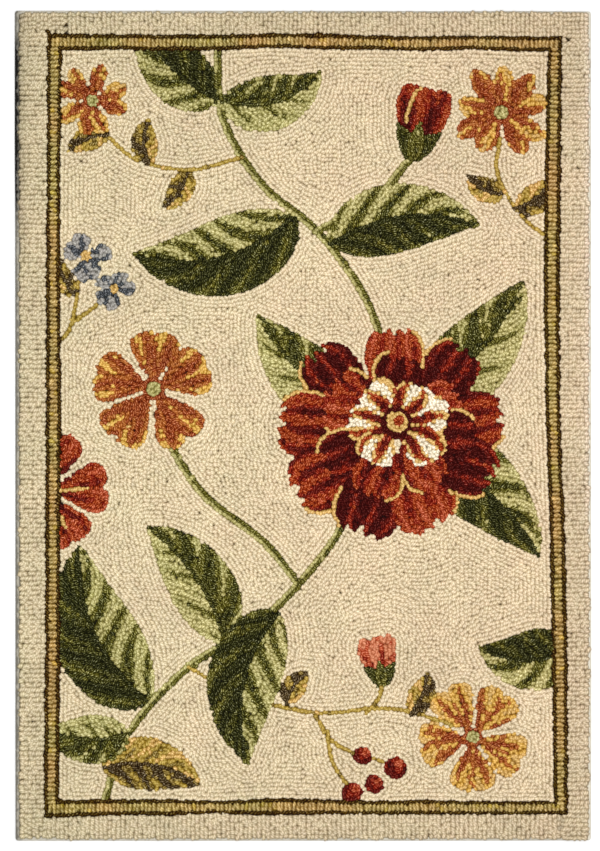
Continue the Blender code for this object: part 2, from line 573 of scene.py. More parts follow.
# The yarns of a leaf from its darkest to its palest, and the yarn of its rib.
LeafYarns = namedtuple("LeafYarns", "tones rib")
GREEN_LEAF = LeafYarns(("deep_green", "dark_green", "mid_green", "sage", "pale_sage"), "deep_green")
SAGE_LEAF = LeafYarns(("dark_green", "mid_green", "sage", "pale_sage", "pale_sage"), "dark_green")
OLIVE_LEAF = LeafYarns(("bark", "dark_olive", "olive", "olive", "petal_gold"), "bark")
# How a leaf rises from its foot and falls at its tip.
LEAF_SHAPE = (0.60, 0.88)
# The tone of half a leaf: at its rib, how much lighter it is at its edge and how much
# its tongues differ.
HalfTone = namedtuple("HalfTone", "rib gain tongues")
LIT_HALF = HalfTone(rib=0.50, gain=0.26, tongues=0.66)
SHADED_HALF = HalfTone(rib=0.13, gain=0.20, tongues=0.44)
# How far the tongues point to the tip as they run out, how much and how often they
# wobble and how far those of the shaded half lie beside those of the lit one.
TONGUE_SLANT = 0.26
TONGUE_WOBBLE = 0.13
TONGUE_WAVES = 9
# How far one wobble may start from another, on leaves and on petals.
WOBBLE_TURN = 6
TONGUE_SHIFT = 0.45
RIB_END = 0.90
RIB_POINTS = 20
BROAD_VEINS = 4
SLIM_VEINS = 2


def leaf_tone(light_side, veins, random):
    """One half lit, one shaded: dark tongues run out from the rib, pale ones back in."""
    start, turn = random.uniform(0.0, 1.0, 2)

    def tone(share, across):
        lit = across * light_side > 0
        out = np.abs(across)
        wobble = TONGUE_WOBBLE * np.sin(TONGUE_WAVES * share + WOBBLE_TURN * turn)
        wobble = wobble + np.where(lit, 0.0, TONGUE_SHIFT)
        wave = ripple(veins * (share - TONGUE_SLANT * out) + start + wobble) - 0.5
        sides = (LIT_HALF, SHADED_HALF)
        halves = [half.rib + half.gain * out + half.tongues * wave for half in sides]
        return np.where(lit, *halves)

    return tone


def double_stem(drawing, points):
    """A stem two rows wide, dark on its right and light on its left."""
    path = smooth_path(points)
    left = left_of(path)
    drawing.row(path - left * LOOP_SPACING / 2, "mid_green", STEMS)
    drawing.row(path + left * LOOP_SPACING / 2, "sage", STEMS)


def leaf(drawing, base, tip, bow, half_width, light_side=1, yarns=GREEN_LEAF, veins=BROAD_VEINS):
    """A leaf, one half light and one dark, with a dark rib."""
    blade = Blade(base, tip, bow, half_width, *LEAF_SHAPE)
    tone = leaf_tone(light_side, veins, drawing.random)
    owner = drawing.blade(blade, yarns.tones, LEAVES, tone)
    rib = smooth_path(spine(blade, np.linspace(0.0, RIB_END, RIB_POINTS)))
    drawing.row(rib, yarns.rib, LEAVES, owner)


# ---------------------------------------------------------------- flowers

# How a flower is looked at: its middle, the way its face leans and by how much.
Face = namedtuple("Face", "centre lean squash")


def on_face(face, degrees, radius):
    """A place on a flower seen at a slant, by its angle and distance."""
    across = heading(face.lean)
    up = place(-across[1], across[0])
    step = heading(degrees - face.lean) * radius
    return np.asarray(face.centre) + across * step[0] * face.squash + up * step[1]


# The yarns of a petal from its foot to its tip, and the yarn of its edge.
PetalYarns = namedtuple("PetalYarns", "tones rim")
RED_PETAL = PetalYarns(("maroon", "crimson", "red", "rust", "rust"), "petal_gold")
DARK_PETAL = PetalYarns(("maroon", "maroon", "maroon", "crimson", "red"), "petal_gold")
RUST_PETAL = PetalYarns(("crimson", "red", "rust", "rust", "coral"), "petal_gold")
PALE_PETAL = PetalYarns(("crimson", "rust", "petal_gold", "ivory", "ivory"), "petal_gold")
ORANGE_PETAL = PetalYarns(
    ("burnt_orange", "burnt_orange", "orange", "orange", "amber"), "burnt_orange"
)
AMBER_PETAL = PetalYarns(("burnt_orange", "orange", "amber", "amber", "petal_gold"), "orange")
ROSE_PETAL = PetalYarns(("red", "coral", "rose", "rose", "rose"), "coral")
BLUE_PETAL = PetalYarns(("slate", "slate", "pale_blue", "pale_blue", "pale_blue"), "slate")


# The tone of a petal: at its foot, how much lighter its tip is, and how much its
# tongues differ and wobble. Its edge row lies just inside its edge.
PETAL_FOOT = 0.06
PETAL_GAIN = 0.70
PETAL_TONGUES = 0.80
PETAL_WOBBLE = 0.06
PETAL_WAVES = 7
RIM_PLACE = 0.95


def petal_tone(tongues, random):
    """Deep at the foot and lighter to the tip, in tongues that run along the petal."""
    start, turn = random.uniform(0.0, 1.0, 2)

    def tone(share, across):
        wobble = PETAL_WOBBLE * np.sin(PETAL_WAVES * share + WOBBLE_TURN * turn)
        wave = ripple(tongues / 2 * across + start + wobble) - 0.5
        return PETAL_FOOT + PETAL_GAIN * share + PETAL_TONGUES * wave

    return tone


def petal(drawing, blade, yarns, motif, tongues, rim=None, ragged=0.0):
    """One petal. rim is the share where its edge row starts, where it ends and its side."""
    tone = petal_tone(tongues, drawing.random)
    owner = drawing.blade(blade, yarns.tones, motif, tone, ragged=ragged)
    if rim:
        start, end, side = rim
        drawing.row(edge_path(blade, start, end, RIM_PLACE * side), yarns.rim, motif, owner)


# One ring of petals: how many, from and to what distance, their half width, how far
# round the ring starts, the yarns that its petals take in turn and how many tongues
# each shows. rimmed says whether they have an edge row.
Ring = namedtuple("Ring", "count inner outer half_width start yarns tongues rimmed", defaults=(True,))
# How a petal of the bloom rises from its foot and falls at its tip.
BLOOM_PETAL = (0.9, 0.42)
# How much the petals of a ring differ: their place in it, as a share of the gap to the
# next, their length and width as shares, their turn in degrees and their bow.
Unevenness = namedtuple("Unevenness", "place length width turn bow")
RING_UNEVENNESS = Unevenness(place=0.14, length=0.08, width=0.09, turn=5, bow=3.0)
# Where an edge row starts and ends along a petal, each with how much that differs.
RIM_START = (0.5, 0.15)
RIM_END = (0.94, 0.04)
# How many tongues the petals of small blossoms show, and those of daisies.
SMALL_TONGUES = 1.4
FEW_TONGUES = 1.2


def ring_of_petals(drawing, face, ring, motif, shape, ragged=0.0):
    uneven = RING_UNEVENNESS
    for index in range(ring.count):
        wobble = drawing.random.uniform(-1.0, 1.0, 4)
        degrees = ring.start + 360 / ring.count * (index + uneven.place * wobble[0])
        outer = ring.outer * (1 + uneven.length * wobble[1])
        half_width = ring.half_width * (1 + uneven.width * wobble[2])
        base = on_face(face, degrees, ring.inner)
        tip = on_face(face, degrees + uneven.turn * wobble[3], outer)
        blade = Blade(base, tip, uneven.bow * wobble[3], half_width, *shape)
        start = RIM_START[0] + RIM_START[1] * wobble[0]
        end = RIM_END[0] + RIM_END[1] * wobble[1]
        rim = (start, end, 1 if index % 2 else -1) if ring.rimmed else None
        petal(drawing, blade, ring.yarns[index % len(ring.yarns)], motif, ring.tongues, rim, ragged)


def large_bloom(drawing, centre):
    """A many-petalled bloom, three rings deep, seen a little from below."""
    low = Face(centre, lean=90.0, squash=0.92)
    middle = Face(centre + place(3, 6), lean=90.0, squash=0.90)
    high = Face(centre + place(5, 10), lean=90.0, squash=0.88)
    outer_yarns = (RED_PETAL, DARK_PETAL, RUST_PETAL, DARK_PETAL, RED_PETAL)
    inner_yarns = (RUST_PETAL, DARK_PETAL, RED_PETAL)
    outer = Ring(9, inner=24, outer=112, half_width=31, start=12, yarns=outer_yarns, tongues=3.4)
    inner = Ring(8, inner=14, outer=78, half_width=24, start=34, yarns=inner_yarns, tongues=2.6)
    heart = Ring(6, inner=8, outer=52, half_width=19, start=5, yarns=(PALE_PETAL,), tongues=1.8)
    ring_of_petals(drawing, low, outer, BLOOM, BLOOM_PETAL, ragged=0.13)
    ring_of_petals(drawing, middle, inner, BLOOM, BLOOM_PETAL, ragged=0.12)
    ring_of_petals(drawing, high, heart, BLOOM, BLOOM_PETAL)
    drawing.disc(high.centre, 15, "maroon", BLOOM)
    drawing.disc(high.centre + place(1, 2), 10.5, "petal_gold", BLOOM)
    drawing.disc(high.centre + place(2, 3), 5.0, "rust", BLOOM)


def eye(drawing, centre, radius, discs):
    """The eye of a flower: discs on each other, each a share of its radius and a yarn."""
    for share, yarn in discs:
        drawing.disc(centre, radius * share, yarn, BLOSSOMS)


# A lobe of a heart-shaped petal, its lengths as shares of the blossom's radius, how far
# it turns from the middle of its petal, in degrees, and where the fold between two lobes
# runs.
LOBE = Blade(base=0.08, tip=1.0, bow=0.03, half_width=0.24, rise=1.0, fall=0.32)
LOBE_TURN = 15
FOLD_PLACES = (0.12, 0.4, 0.70)
# How far a heart-shaped petal may turn, in degrees, and how long it may be, as shares.
PETAL_TURN = (-5, 5)
PETAL_LENGTHS = (0.94, 1.08)


def heart_blossom(drawing, centre, radius, start, yarns=ORANGE_PETAL, heart="sage", petals=5):
    """Heart-shaped petals, each of two lobes, round a small tuft."""
    for index in range(petals):
        degrees = start + 360 / petals * index + drawing.random.uniform(*PETAL_TURN)
        reach = radius * LOBE.tip * drawing.random.uniform(*PETAL_LENGTHS)
        base = centre + heading(degrees) * radius * LOBE.base
        for side in (-1, 1):
            tip = centre + heading(degrees + LOBE_TURN * side) * reach
            bow = -radius * LOBE.bow * side
            lobe = Blade(base, tip, bow, radius * LOBE.half_width, LOBE.rise, LOBE.fall)
            petal(drawing, lobe, yarns, BLOSSOMS, SMALL_TONGUES)
        fold = [centre + heading(degrees) * radius * share for share in FOLD_PLACES]
        drawing.row(smooth_path(fold), yarns.rim, BLOSSOMS)
    eye(drawing, centre, radius, ((0.19, yarns.tones[0]), (0.13, heart)))


# A flat flower: how far out its petals start and their half width, as shares of its
# radius, how they rise and fall, the yarns that they take in turn, and its eye.
FlatFlower = namedtuple("FlatFlower", "inner half_width shape yarns eye")
DAISY = FlatFlower(
    inner=0.14,
    half_width=0.22,
    shape=(0.7, 0.55),
    yarns=(AMBER_PETAL, ORANGE_PETAL),
    eye=((0.24, "burnt_orange"), (0.16, "sage")),
)
BLUE_FLOWER = FlatFlower(
    inner=0.06,
    half_width=0.40,
    shape=(0.75, 0.34),
    yarns=(BLUE_PETAL,),
    eye=((0.22, "petal_gold"),),
)


def flat_flower(drawing, flower, centre, radius, petals, start):
    """A small flower that faces up, with one ring of petals."""
    inner = radius * flower.inner
    half_width = radius * flower.half_width
    ring = Ring(petals, inner, radius, half_width, start, flower.yarns, FEW_TONGUES, rimmed=False)
    ring_of_petals(drawing, Face(centre, lean=0.0, squash=1.0), ring, BLOSSOMS, flower.shape)
    eye(drawing, centre, radius, flower.eye)


# The petals of a bud: how far their tips lie apart and their half width, as shares of
# the bud's, and the edge row of the middle one.
BUD_TIP_GAP = 0.7
BUD_PETAL_WIDTH = 0.62
BUD_PETAL = (0.6, 0.40)
BUD_RIM = (0.45, 0.97, 1)
# The leaves of its cup: how far below it they start, how long the middle one is, how
# much shorter the others are and how far apart their tips lie, their half width and bow.
CUP_START = 0.12
CUP_HEIGHT = 0.50
CUP_DROP = 0.1
CUP_TIP_GAP = 0.95
CUP_LEAF_WIDTH = 0.34
CUP_LEAF_BOW = 2.0
CUP_LEAF = (0.6, 0.9)


def bud(drawing, base, tip, half_width, yarns):
    """A closed bud: three petals folded over each other in a green cup."""
    base = place(*base)
    tip = place(*tip)
    run = tip - base
    left = place(-run[1], run[0]) / np.hypot(*run)
    for side in (-1, 1, 0):
        end = tip + left * half_width * BUD_TIP_GAP * side
        lobe = Blade(base, end, 0.0, half_width * BUD_PETAL_WIDTH, *BUD_PETAL)
        petal(drawing, lobe, yarns, BLOSSOMS, SMALL_TONGUES, None if side else BUD_RIM)
    for side in (-1, 1, 0):
        foot = base - run * CUP_START
        end = base + run * (CUP_HEIGHT - CUP_DROP * abs(side))
        end = end + left * half_width * CUP_TIP_GAP * side
        sepal = Blade(foot, end, -CUP_LEAF_BOW * side, half_width * CUP_LEAF_WIDTH, *CUP_LEAF)
        drawing.blade(sepal, ("dark_green" if side else "mid_green",), LEAVES)


# The lights on a berry: their places off its middle and their radii, as shares of its
# radius, and their yarns.
BERRY_LIGHTS = ((0.20, 0.22, 0.70, "red"), (0.36, 0.40, 0.40, "coral"))


def berry(drawing, centre, radius):
    """A round red berry with a lit side."""
    owner = drawing.disc(centre, radius, "crimson", BLOSSOMS)
    for x, y, share, yarn in BERRY_LIGHTS:
        drawing.disc(centre + place(x, y) * radius, radius * share, yarn, BLOSSOMS, owner)


# ---------------------------------------------------------------- the composition


# The stems two rows wide and the thin golden ones, from base to tip.
GREEN_STEMS = (
    ((-196, -374), (-170, -300), (-112, -236), (-40, -190), (24, -120), (50, -70)),
    ((82, 70), (58, 130), (14, 190), (-40, 236), (-78, 300), (-84, 376)),
    ((-6, -152), (-40, -112), (-100, -64), (-140, 0)),
    ((14, 190), (70, 222), (106, 262)),
)
GOLDEN_STEMS = (
    ((-112, -236), (-60, -262), (10, -280), (86, -276), (146, -292)),
    ((10, -280), (34, -312), (84, -330)),
    ((24, -298), (28, -326), (44, -352)),
    ((62, -280), (74, -266), (78, -252)),
    ((250, 178), (214, 204), (190, 246), (192, 280)),
    ((-60, 262), (-112, 250), (-166, 262), (-206, 300)),
    ((-246, 70), (-226, 100), (-218, 150)),
    ((-226, 100), (-204, 116), (-192, 128)),
)
# The leaves: base, tip, bow, half width, light side, and for the broad ones their yarns
# and how many veins they show.
BROAD_LEAVES = (
    ((96, 10), (216, 142), -14, 38, -1, SAGE_LEAF),
    ((96, -10), (232, -128), 14, 38, 1),
    ((70, 0), (-44, 108), 12, 34, 1, SAGE_LEAF),
    ((-150, -270), (-218, -116), 22, 42, -1, GREEN_LEAF, 5),
    ((-76, -212), (-152, -98), -12, 32, 1, SAGE_LEAF),
    ((-24, -182), (-54, -330), -20, 36, 1, GREEN_LEAF, 5),
    ((26, 176), (172, 196), 18, 34, 1, GREEN_LEAF, 5),
    ((-8, 206), (-166, 168), 24, 38, -1, GREEN_LEAF, 5),
    ((-80, 318), (18, 346), -16, 27, -1, SAGE_LEAF),
    ((-82, 318), (-160, 396), 10, 30, 1),
    ((-196, -334), (-100, -352), 12, 26, 1, OLIVE_LEAF),
    ((-170, -300), (-252, -296), 8, 24, -1, SAGE_LEAF),
    ((268, -214), (172, -216), 14, 30, 1),
)
SLIM_LEAVES = (
    ((206, 212), (244, 244), -6, 14, 1),
    ((196, 226), (160, 246), 5, 12, 1),
    ((-112, 250), (-138, 212), 5, 12, 1),
    ((-150, 256), (-150, 300), 5, 13, -1),
    ((-190, 284), (-230, 268), -4, 12, 1),
    ((-222, 126), (-238, 166), 4, 10, 1),
    ((104, -282), (122, -240), -4, 13, 1),
    ((-16, -272), (6, -240), 4, 12, -1),
)
# The flat flowers: kind, x, y, radius, number of petals and where their ring starts.
FLAT_FLOWERS = (
    (DAISY, 194, 306, 46, 9, 10),
    (DAISY, -206, 318, 38, 8, 30),
    (BLUE_FLOWER, -212, 166, 23, 5, 20),
    (BLUE_FLOWER, -184, 134, 19, 5, 60),
)
# The berries: x, y and radius.
BERRIES = ((90, -334, 11), (70, -350, 9), (48, -358, 10), (58, -322, 9))


def draw_flowers(drawing):
    bud(drawing, (108, 266), (122, 330), 24, RED_PETAL)
    bud(drawing, (78, -250), (70, -206), 17, ROSE_PETAL)
    large_bloom(drawing, place(86, -8))
    heart_blossom(drawing, place(-146, 36), 58, 20)
    heart_blossom(drawing, place(166, -304), 52, 50, AMBER_PETAL)
    heart_blossom(drawing, place(-250, -64), 56, 8, RUST_PETAL, "petal_gold")
    for flower, x, y, radius, petals, start in FLAT_FLOWERS:
        flat_flower(drawing, flower, place(x, y), radius, petals, start)
    for x, y, radius in BERRIES:
        berry(drawing, place(x, y), radius)


def drawn_pattern():
    """The whole pattern: what is drawn later lies over what was drawn before."""
    drawing = Drawing()
    for points in GREEN_STEMS:
        double_stem(drawing, points)
    for points in GOLDEN_STEMS:
        drawing.row(smooth_path(points), "olive", STEMS)
    for settings in BROAD_LEAVES:
        leaf(drawing, *settings)
    for settings in SLIM_LEAVES:
        leaf(drawing, *settings, OLIVE_LEAF, SLIM_VEINS)
    draw_flowers(drawing)
    return drawing


# ---------------------------------------------------------------- rows outside the field


Loops = namedtuple("Loops", "points angles yarns motifs sizes stretches")
# Which way a loop lies: along the rug's width or along its length.
LEVEL = 0.0
UPRIGHT = math.pi / 2


class LoopPlan:
    """Where the loops go, the way their rows run, their yarns, motifs and sizes."""

    def __init__(self):
        self.parts = []

    def add(self, points, angles, yarn, motif, size=1.0, stretch=1.0):
        """Adds loops. size is how full they are, stretch how much longer than wide."""
        yarns = YARN_INDEX[yarn] if isinstance(yarn, str) else yarn
        rest = (angles, yarns, motif, size, stretch)
        spread_out = [np.broadcast_to(values, len(points)) for values in rest]
        self.parts.append((np.asarray(points, float), *spread_out))

    def places(self):
        return np.vstack([part[0] for part in self.parts])

    def joined(self):
        return Loops(*(np.concatenate(values) for values in zip(*self.parts)))


def even_steps(start, end, spacing):
    return np.linspace(start, end, max(2, round(abs(end - start) / spacing) + 1))


def side_run(table, start, end, spacing):
    """Places along a left or right line, between two heights."""
    y = even_steps(start, end, spacing)
    return np.column_stack((station_value(SIDE_STATIONS, table, y), y))


def end_run(table, start, end, spacing):
    """Places along a far or near line, from left to right."""
    x = even_steps(start, end, spacing)
    return np.column_stack((x, station_value(END_STATIONS, table, x)))


def wandered(points, random, across, along=0.0):
    """Places moved a little off their row, as a hand sets them."""
    left = left_of(points)
    ahead = np.column_stack((left[:, 1], -left[:, 0]))
    count = len(points)
    return (
        points
        + left * random.normal(0.0, across, (count, 1))
        + ahead * random.normal(0.0, along, (count, 1))
    )


def runs_of(line, sides, ends, side_pitch, end_pitch):
    """Places along the left, right, far and near runs of a line.

    The left and right runs reach the far and near ones of the line called sides. The
    far and near runs stop short of the left and right ones of the line called ends.
    """
    return (
        side_run(line.left, sides.near[0], sides.far[0], side_pitch),
        side_run(line.right, sides.near[-1], sides.far[-1], side_pitch),
        end_run(line.far, ends.left[-1] + LINE_SPACING, ends.right[-1] - LINE_SPACING, end_pitch),
        end_run(line.near, ends.left[0] + LINE_SPACING, ends.right[0] - LINE_SPACING, end_pitch),
    )


def hook_frame_lines(plan, random):
    """The two brown rows and the gold rungs between them."""
    for line in (OUTER_LINE, INNER_LINE):
        runs = runs_of(line, line, line, LINE_SPACING, LINE_SPACING)
        for run, angle in zip(runs, (UPRIGHT, UPRIGHT, LEVEL, LEVEL)):
            plan.add(wandered(run, random, *LINE_WANDER), angle, "brown", LINES, LINE_FULLNESS)
    for share in GOLD_SHARES:
        lines = zip(map(np.array, OUTER_LINE), map(np.array, INNER_LINE))
        middle = FrameLine(*(outer * (1 - share) + inner * share for outer, inner in lines))
        runs = runs_of(middle, INNER_LINE, OUTER_LINE, SIDE_RUNG_PITCH, END_RUNG_PITCH)
        for run, angle in zip(runs, (LEVEL, LEVEL, UPRIGHT, UPRIGHT)):
            points = wandered(run, random, *RUNG_WANDER)
            plan.add(points, angle, "gold", LINES, RUNG_FULLNESS, RUNG_STRETCH)
    for stray in STRAY_LOOPS:
        plan.add([(stray.x, stray.y)], stray.angle, stray.yarn, LINES, stray.fullness, stray.stretch)


def band_rows(plan, random, band, limits, angle):
    """Short rows across the plain band. limits gives their two ends at a station."""
    stations = even_steps(band.start, band.end, band.row_pitch)
    drift = np.cumsum(random.normal(0.0, ROW_DRIFT, len(stations)))
    drift -= np.linspace(drift[0], drift[-1], len(drift))
    for station, off in zip(stations, np.clip(drift, -MOST_ROW_DRIFT, MOST_ROW_DRIFT)):
        inner, outer = limits(station)
        outward = np.sign(outer - inner)
        inner += random.uniform(*INNER_END_PLAY) * outward
        outer += random.uniform(*OUTER_END_PLAY) * outward
        run = even_steps(inner, outer, BAND_SPACING)
        run = run + random.normal(0.0, BAND_WANDER[1], len(run))
        across = station + off + random.normal(0.0, BAND_WANDER[0], len(run))
        points = np.column_stack((across, run) if angle == UPRIGHT else (run, across))
        steps = points[:, None] - STRAY_PLACES
        points = points[np.hypot(steps[..., 0], steps[..., 1]).min(axis=1) > STRAY_ROOM]
        plan.add(points, angle, "border", BORDER, band.fullness)


def hook_border(plan, random):
    """The rows of the plain band, from the frame line out to the edge on each side."""

    def left(y):
        inner = station_value(SIDE_STATIONS, OUTER_LINE.left, y) - LINE_GAP
        return inner, LEFT_BAND.edge_gap - HALF_X

    def right(y):
        inner = station_value(SIDE_STATIONS, OUTER_LINE.right, y) + LINE_GAP
        if y <= OUTER_LINE.near[-1] - LINE_GAP:
            inner = NEAR_SEAM_X + SEAM_GAP
        return inner, HALF_X - RIGHT_BAND.edge_gap

    def far(x):
        inner = station_value(END_STATIONS, OUTER_LINE.far, x) + LINE_GAP
        return inner, HALF_Y - FAR_BAND.edge_gap

    def near(x):
        inner = station_value(END_STATIONS, OUTER_LINE.near, x) - LINE_GAP
        return inner, NEAR_BAND.edge_gap - HALF_Y

    band_rows(plan, random, LEFT_BAND, left, LEVEL)
    band_rows(plan, random, RIGHT_BAND, right, LEVEL)
    band_rows(plan, random, FAR_BAND, far, UPRIGHT)
    band_rows(plan, random, NEAR_BAND, near, UPRIGHT)


# ---------------------------------------------------------------- filling the shapes


def neighbours(points, cell, most=6):
    """For each point the numbers of the points near it, -1 where there are no more."""
    spot = np.floor((points - points.min(axis=0)) / cell).astype(int) + 1
    wide = spot[:, 0].max() + 2
    key = spot[:, 1] * wide + spot[:, 0]
    order = np.argsort(key, kind="stable")
    rank = np.arange(len(points)) - np.searchsorted(key[order], key[order])
    table = np.full((key.max() + wide + 2, most), -1)
    fits = rank < most
    table[key[order][fits], rank[fits]] = order[fits]
    steps = [line * wide + column for line in (-1, 0, 1) for column in (-1, 0, 1)]
    return np.concatenate([table[key + step] for step in steps], axis=1)


def tree_of(points):
    tree = KDTree(len(points))
    for index, point in enumerate(points):
        tree.insert((point[0], point[1], 0.0), index)
    tree.balance()
    return tree


def nearest(tree, points):
    """For each point the step to it from the nearest place in the tree."""
    found = np.array([tree.find((x, y, 0.0))[0][:2] for x, y in points.tolist()])
    return points - found


def apart(points, taken, least):
    """The points that keep a distance from those taken and from each other."""
    kept = []
    cells = {}

    def crowded(point):
        column, line = int(point[0] // least), int(point[1] // least)
        for x in (column - 1, column, column + 1):
            for y in (line - 1, line, line + 1):
                for other in cells.get((x, y), ()):
                    if math.dist(point, other) < least:
                        return True
        return False

    def mark(point):
        cells.setdefault((int(point[0] // least), int(point[1] // least)), []).append(point)

    for point in taken.tolist():
        mark(point)
    for index, point in enumerate(points.tolist()):
        if not crowded(point):
            mark(point)
            kept.append(index)
    return np.array(kept, int)


def hook_drawn_rows(plan, drawing, random):
    """One row of loops along each drawn line, where it still shows."""
    for shape, path in reversed(drawing.rows):
        points = resampled(path, ROW_SPACING)
        angles = np.arctan2(*np.gradient(points, axis=0).T[::-1])
        yarns, shapes, motifs = drawing.look_up(points)
        shows = shapes == shape
        if not shows.any():
            continue
        points, angles, yarns, motifs = points[shows], angles[shows], yarns[shows], motifs[shows]
        points = points + random.normal(0.0, ROW_WANDER, points.shape)
        free = apart(points, plan.places(), CLOSEST)
        if len(free):
            plan.add(points[free], angles[free], yarns[free], motifs[free])


def grid_places(across, along):
    """Every place of a grid, from its stations each way."""
    return np.column_stack([axis.ravel() for axis in np.meshgrid(across, along)])


def starting_places(drawing, taken, random):
    """Scattered even places in the field and the corner blocks, clear of the rows.

    With each place comes its block: 0 in the field, or else the number of its corner.
    """
    scattered = []
    for left, near, right, far in (FIELD_BOX, *CORNER_BLOCKS):
        columns = even_steps(left, right, LOOP_SPACING)
        points = grid_places(columns, even_steps(near, far, LOOP_SPACING))
        points = points + random.uniform(-START_PLAY, START_PLAY, points.shape)
        scattered.append(points)
    in_field = drawing.look_up(scattered[0])[1] >= 0
    scattered[0] = scattered[0][in_field]
    blocks = np.repeat(np.arange(len(scattered)), [len(points) for points in scattered])
    points = np.vstack(scattered)
    kept = apart(points, taken, CLOSEST_START)
    return points[kept], blocks[kept]


def settled(points, blocks, taken, outline_tree, steps):
    """Lets places spread out evenly and fall into rows beside the drawn outlines."""
    no_limits = (-math.inf, -math.inf, math.inf, math.inf)
    limits = np.array([no_limits, *CORNER_BLOCKS])[blocks]
    in_field = blocks == 0
    for _ in range(steps):
        everyone = np.vstack((points, taken))
        near = neighbours(everyone, REACH)[: len(points)]
        gaps = points[:, None, :] - everyone[near]
        away = np.hypot(gaps[..., 0], gaps[..., 1])
        close = (near >= 0) & (away > TOUCHING) & (away < REACH)
        push = np.where(close, (REACH - away) / np.maximum(away, LEAST_PUSHED_GAP), 0.0)
        move = (gaps * push[..., None]).sum(axis=1) * PUSH
        step = nearest(outline_tree, points)
        away = np.maximum(np.hypot(step[:, 0], step[:, 1]), TOUCHING)
        wanted = (np.floor(away / LOOP_SPACING) + 0.5) * LOOP_SPACING
        nearness = np.clip(PULL_START - away / (PULL_ROWS * LOOP_SPACING), 0.0, 1.0)
        pull = LEAST_PULL + ROW_PULL * nearness
        move += step / away[:, None] * ((wanted - away) * pull * in_field)[:, None]
        reach = np.maximum(np.hypot(move[:, 0], move[:, 1]), TINY)
        move *= (np.minimum(reach, LONGEST_MOVE) / reach)[:, None]
        points = np.clip(points + move, limits[:, :2], limits[:, 2:])
    return points


def bare_places(drawing):
    """A close grid of places in the field, and one in the band round the lines."""
    columns = np.arange(-HALF_X, HALF_X, HOLE_STEP)
    points = grid_places(columns, np.arange(-HALF_Y, HALF_Y, HOLE_STEP))
    x, y = points.T
    in_field = inside_line(INNER_LINE, x, y, 0.0) & (drawing.look_up(points)[1] >= 0)
    in_band = ~inside_line(OUTER_LINE, x, y, -LINE_GAP)
    in_band &= (x > LEFT_BAND.edge_gap - HALF_X) & (x < HALF_X - RIGHT_BAND.edge_gap)
    in_band &= (y > NEAR_BAND.edge_gap - HALF_Y) & (y < HALF_Y - FAR_BAND.edge_gap)
    return points[in_field], points[in_band]


def holes(points, taken):
    """Those of some places that are too far from any loop, well apart."""
    step = nearest(tree_of(taken), points)
    away = np.hypot(step[:, 0], step[:, 1])
    order = np.argsort(-away, kind="stable")
    order = order[away[order] > HOLE_GAP]
    return points[order][apart(points[order], taken, HOLE_GAP)]


def mixed(yarns, random):
    """Swaps some loops for the yarns that are hooked together with theirs."""
    yarns = yarns.copy()
    before = yarns.copy()
    for name, others in MIXED_YARNS.items():
        mine = before == YARN_INDEX[name]
        draw = random.uniform(size=len(yarns))
        reached = 0.0
        for other, share in others:
            yarns[mine & (draw >= reached) & (draw < reached + share)] = YARN_INDEX[other]
            reached += share
    return yarns


@lru_cache(maxsize=None)
def planned_loops():
    """Every loop on the rug."""
    random = np.random.default_rng(SEED)
    drawing = drawn_pattern()
    plan = LoopPlan()
    hook_frame_lines(plan, random)
    hook_border(plan, random)
    hook_drawn_rows(plan, drawing, random)
    taken = plan.places()
    points, blocks = starting_places(drawing, taken, random)
    outline_tree = tree_of(drawing.outlines())
    in_field, in_band = bare_places(drawing)
    for steps in SETTLING:
        points = settled(points, blocks, taken, outline_tree, steps)
        kept = apart(points, taken, CLOSEST_SETTLED)
        more = holes(in_field, np.vstack((points[kept], taken)))
        points = np.vstack((points[kept], more))
        blocks = np.concatenate((blocks[kept], np.zeros(len(more), int)))
    missed = holes(in_band, np.vstack((points, taken)))
    points = np.vstack((points, missed))
    blocks = np.concatenate((blocks, np.ones(len(missed), int)))
    yarns, shapes, motifs = drawing.look_up(points)
    in_block = blocks > 0
    inside = in_block | (shapes >= 0)
    yarns = np.where(in_block, YARN_INDEX["border"], yarns)
    motifs = np.where(in_block, BORDER, motifs)
    step = nearest(outline_tree, points)
    angles = np.arctan2(step[:, 1], step[:, 0]) + math.pi / 2
    plan.add(points[inside], angles[inside], yarns[inside], motifs[inside])
    loops = plan.joined()
    return loops._replace(yarns=mixed(loops.yarns, random))


# ---------------------------------------------------------------- working on meshes

# More than half the rug's length, so that places have positive numbers in the noise.
NOISE_MARGIN = 420.0
# How upright the normal of a face is that looks up or down.
FACING = 0.9


def deselect_all():
    if bpy.context.object and bpy.context.object.mode != "OBJECT":
        bpy.ops.object.mode_set(mode="OBJECT")
    bpy.ops.object.select_all(action="DESELECT")


def select_parts(kind, test):
    """In edit mode, selects only the faces, edges or corners that pass a test."""
    bpy.ops.mesh.select_mode(type={"faces": "FACE", "edges": "EDGE", "verts": "VERT"}[kind])
    bpy.ops.mesh.select_all(action="DESELECT")
    shape = bmesh.from_edit_mesh(bpy.context.edit_object.data)
    for part in getattr(shape, kind):
        if test(part):
            part.select_set(True)
    bmesh.update_edit_mesh(bpy.context.edit_object.data)


def points_of(mesh):
    points = np.empty(len(mesh.vertices) * 3, np.float32)
    mesh.vertices.foreach_get("co", points)
    return points.reshape(-1, 3)


def set_points(mesh, points):
    mesh.vertices.foreach_set("co", np.asarray(points, np.float32).ravel())
    mesh.update()


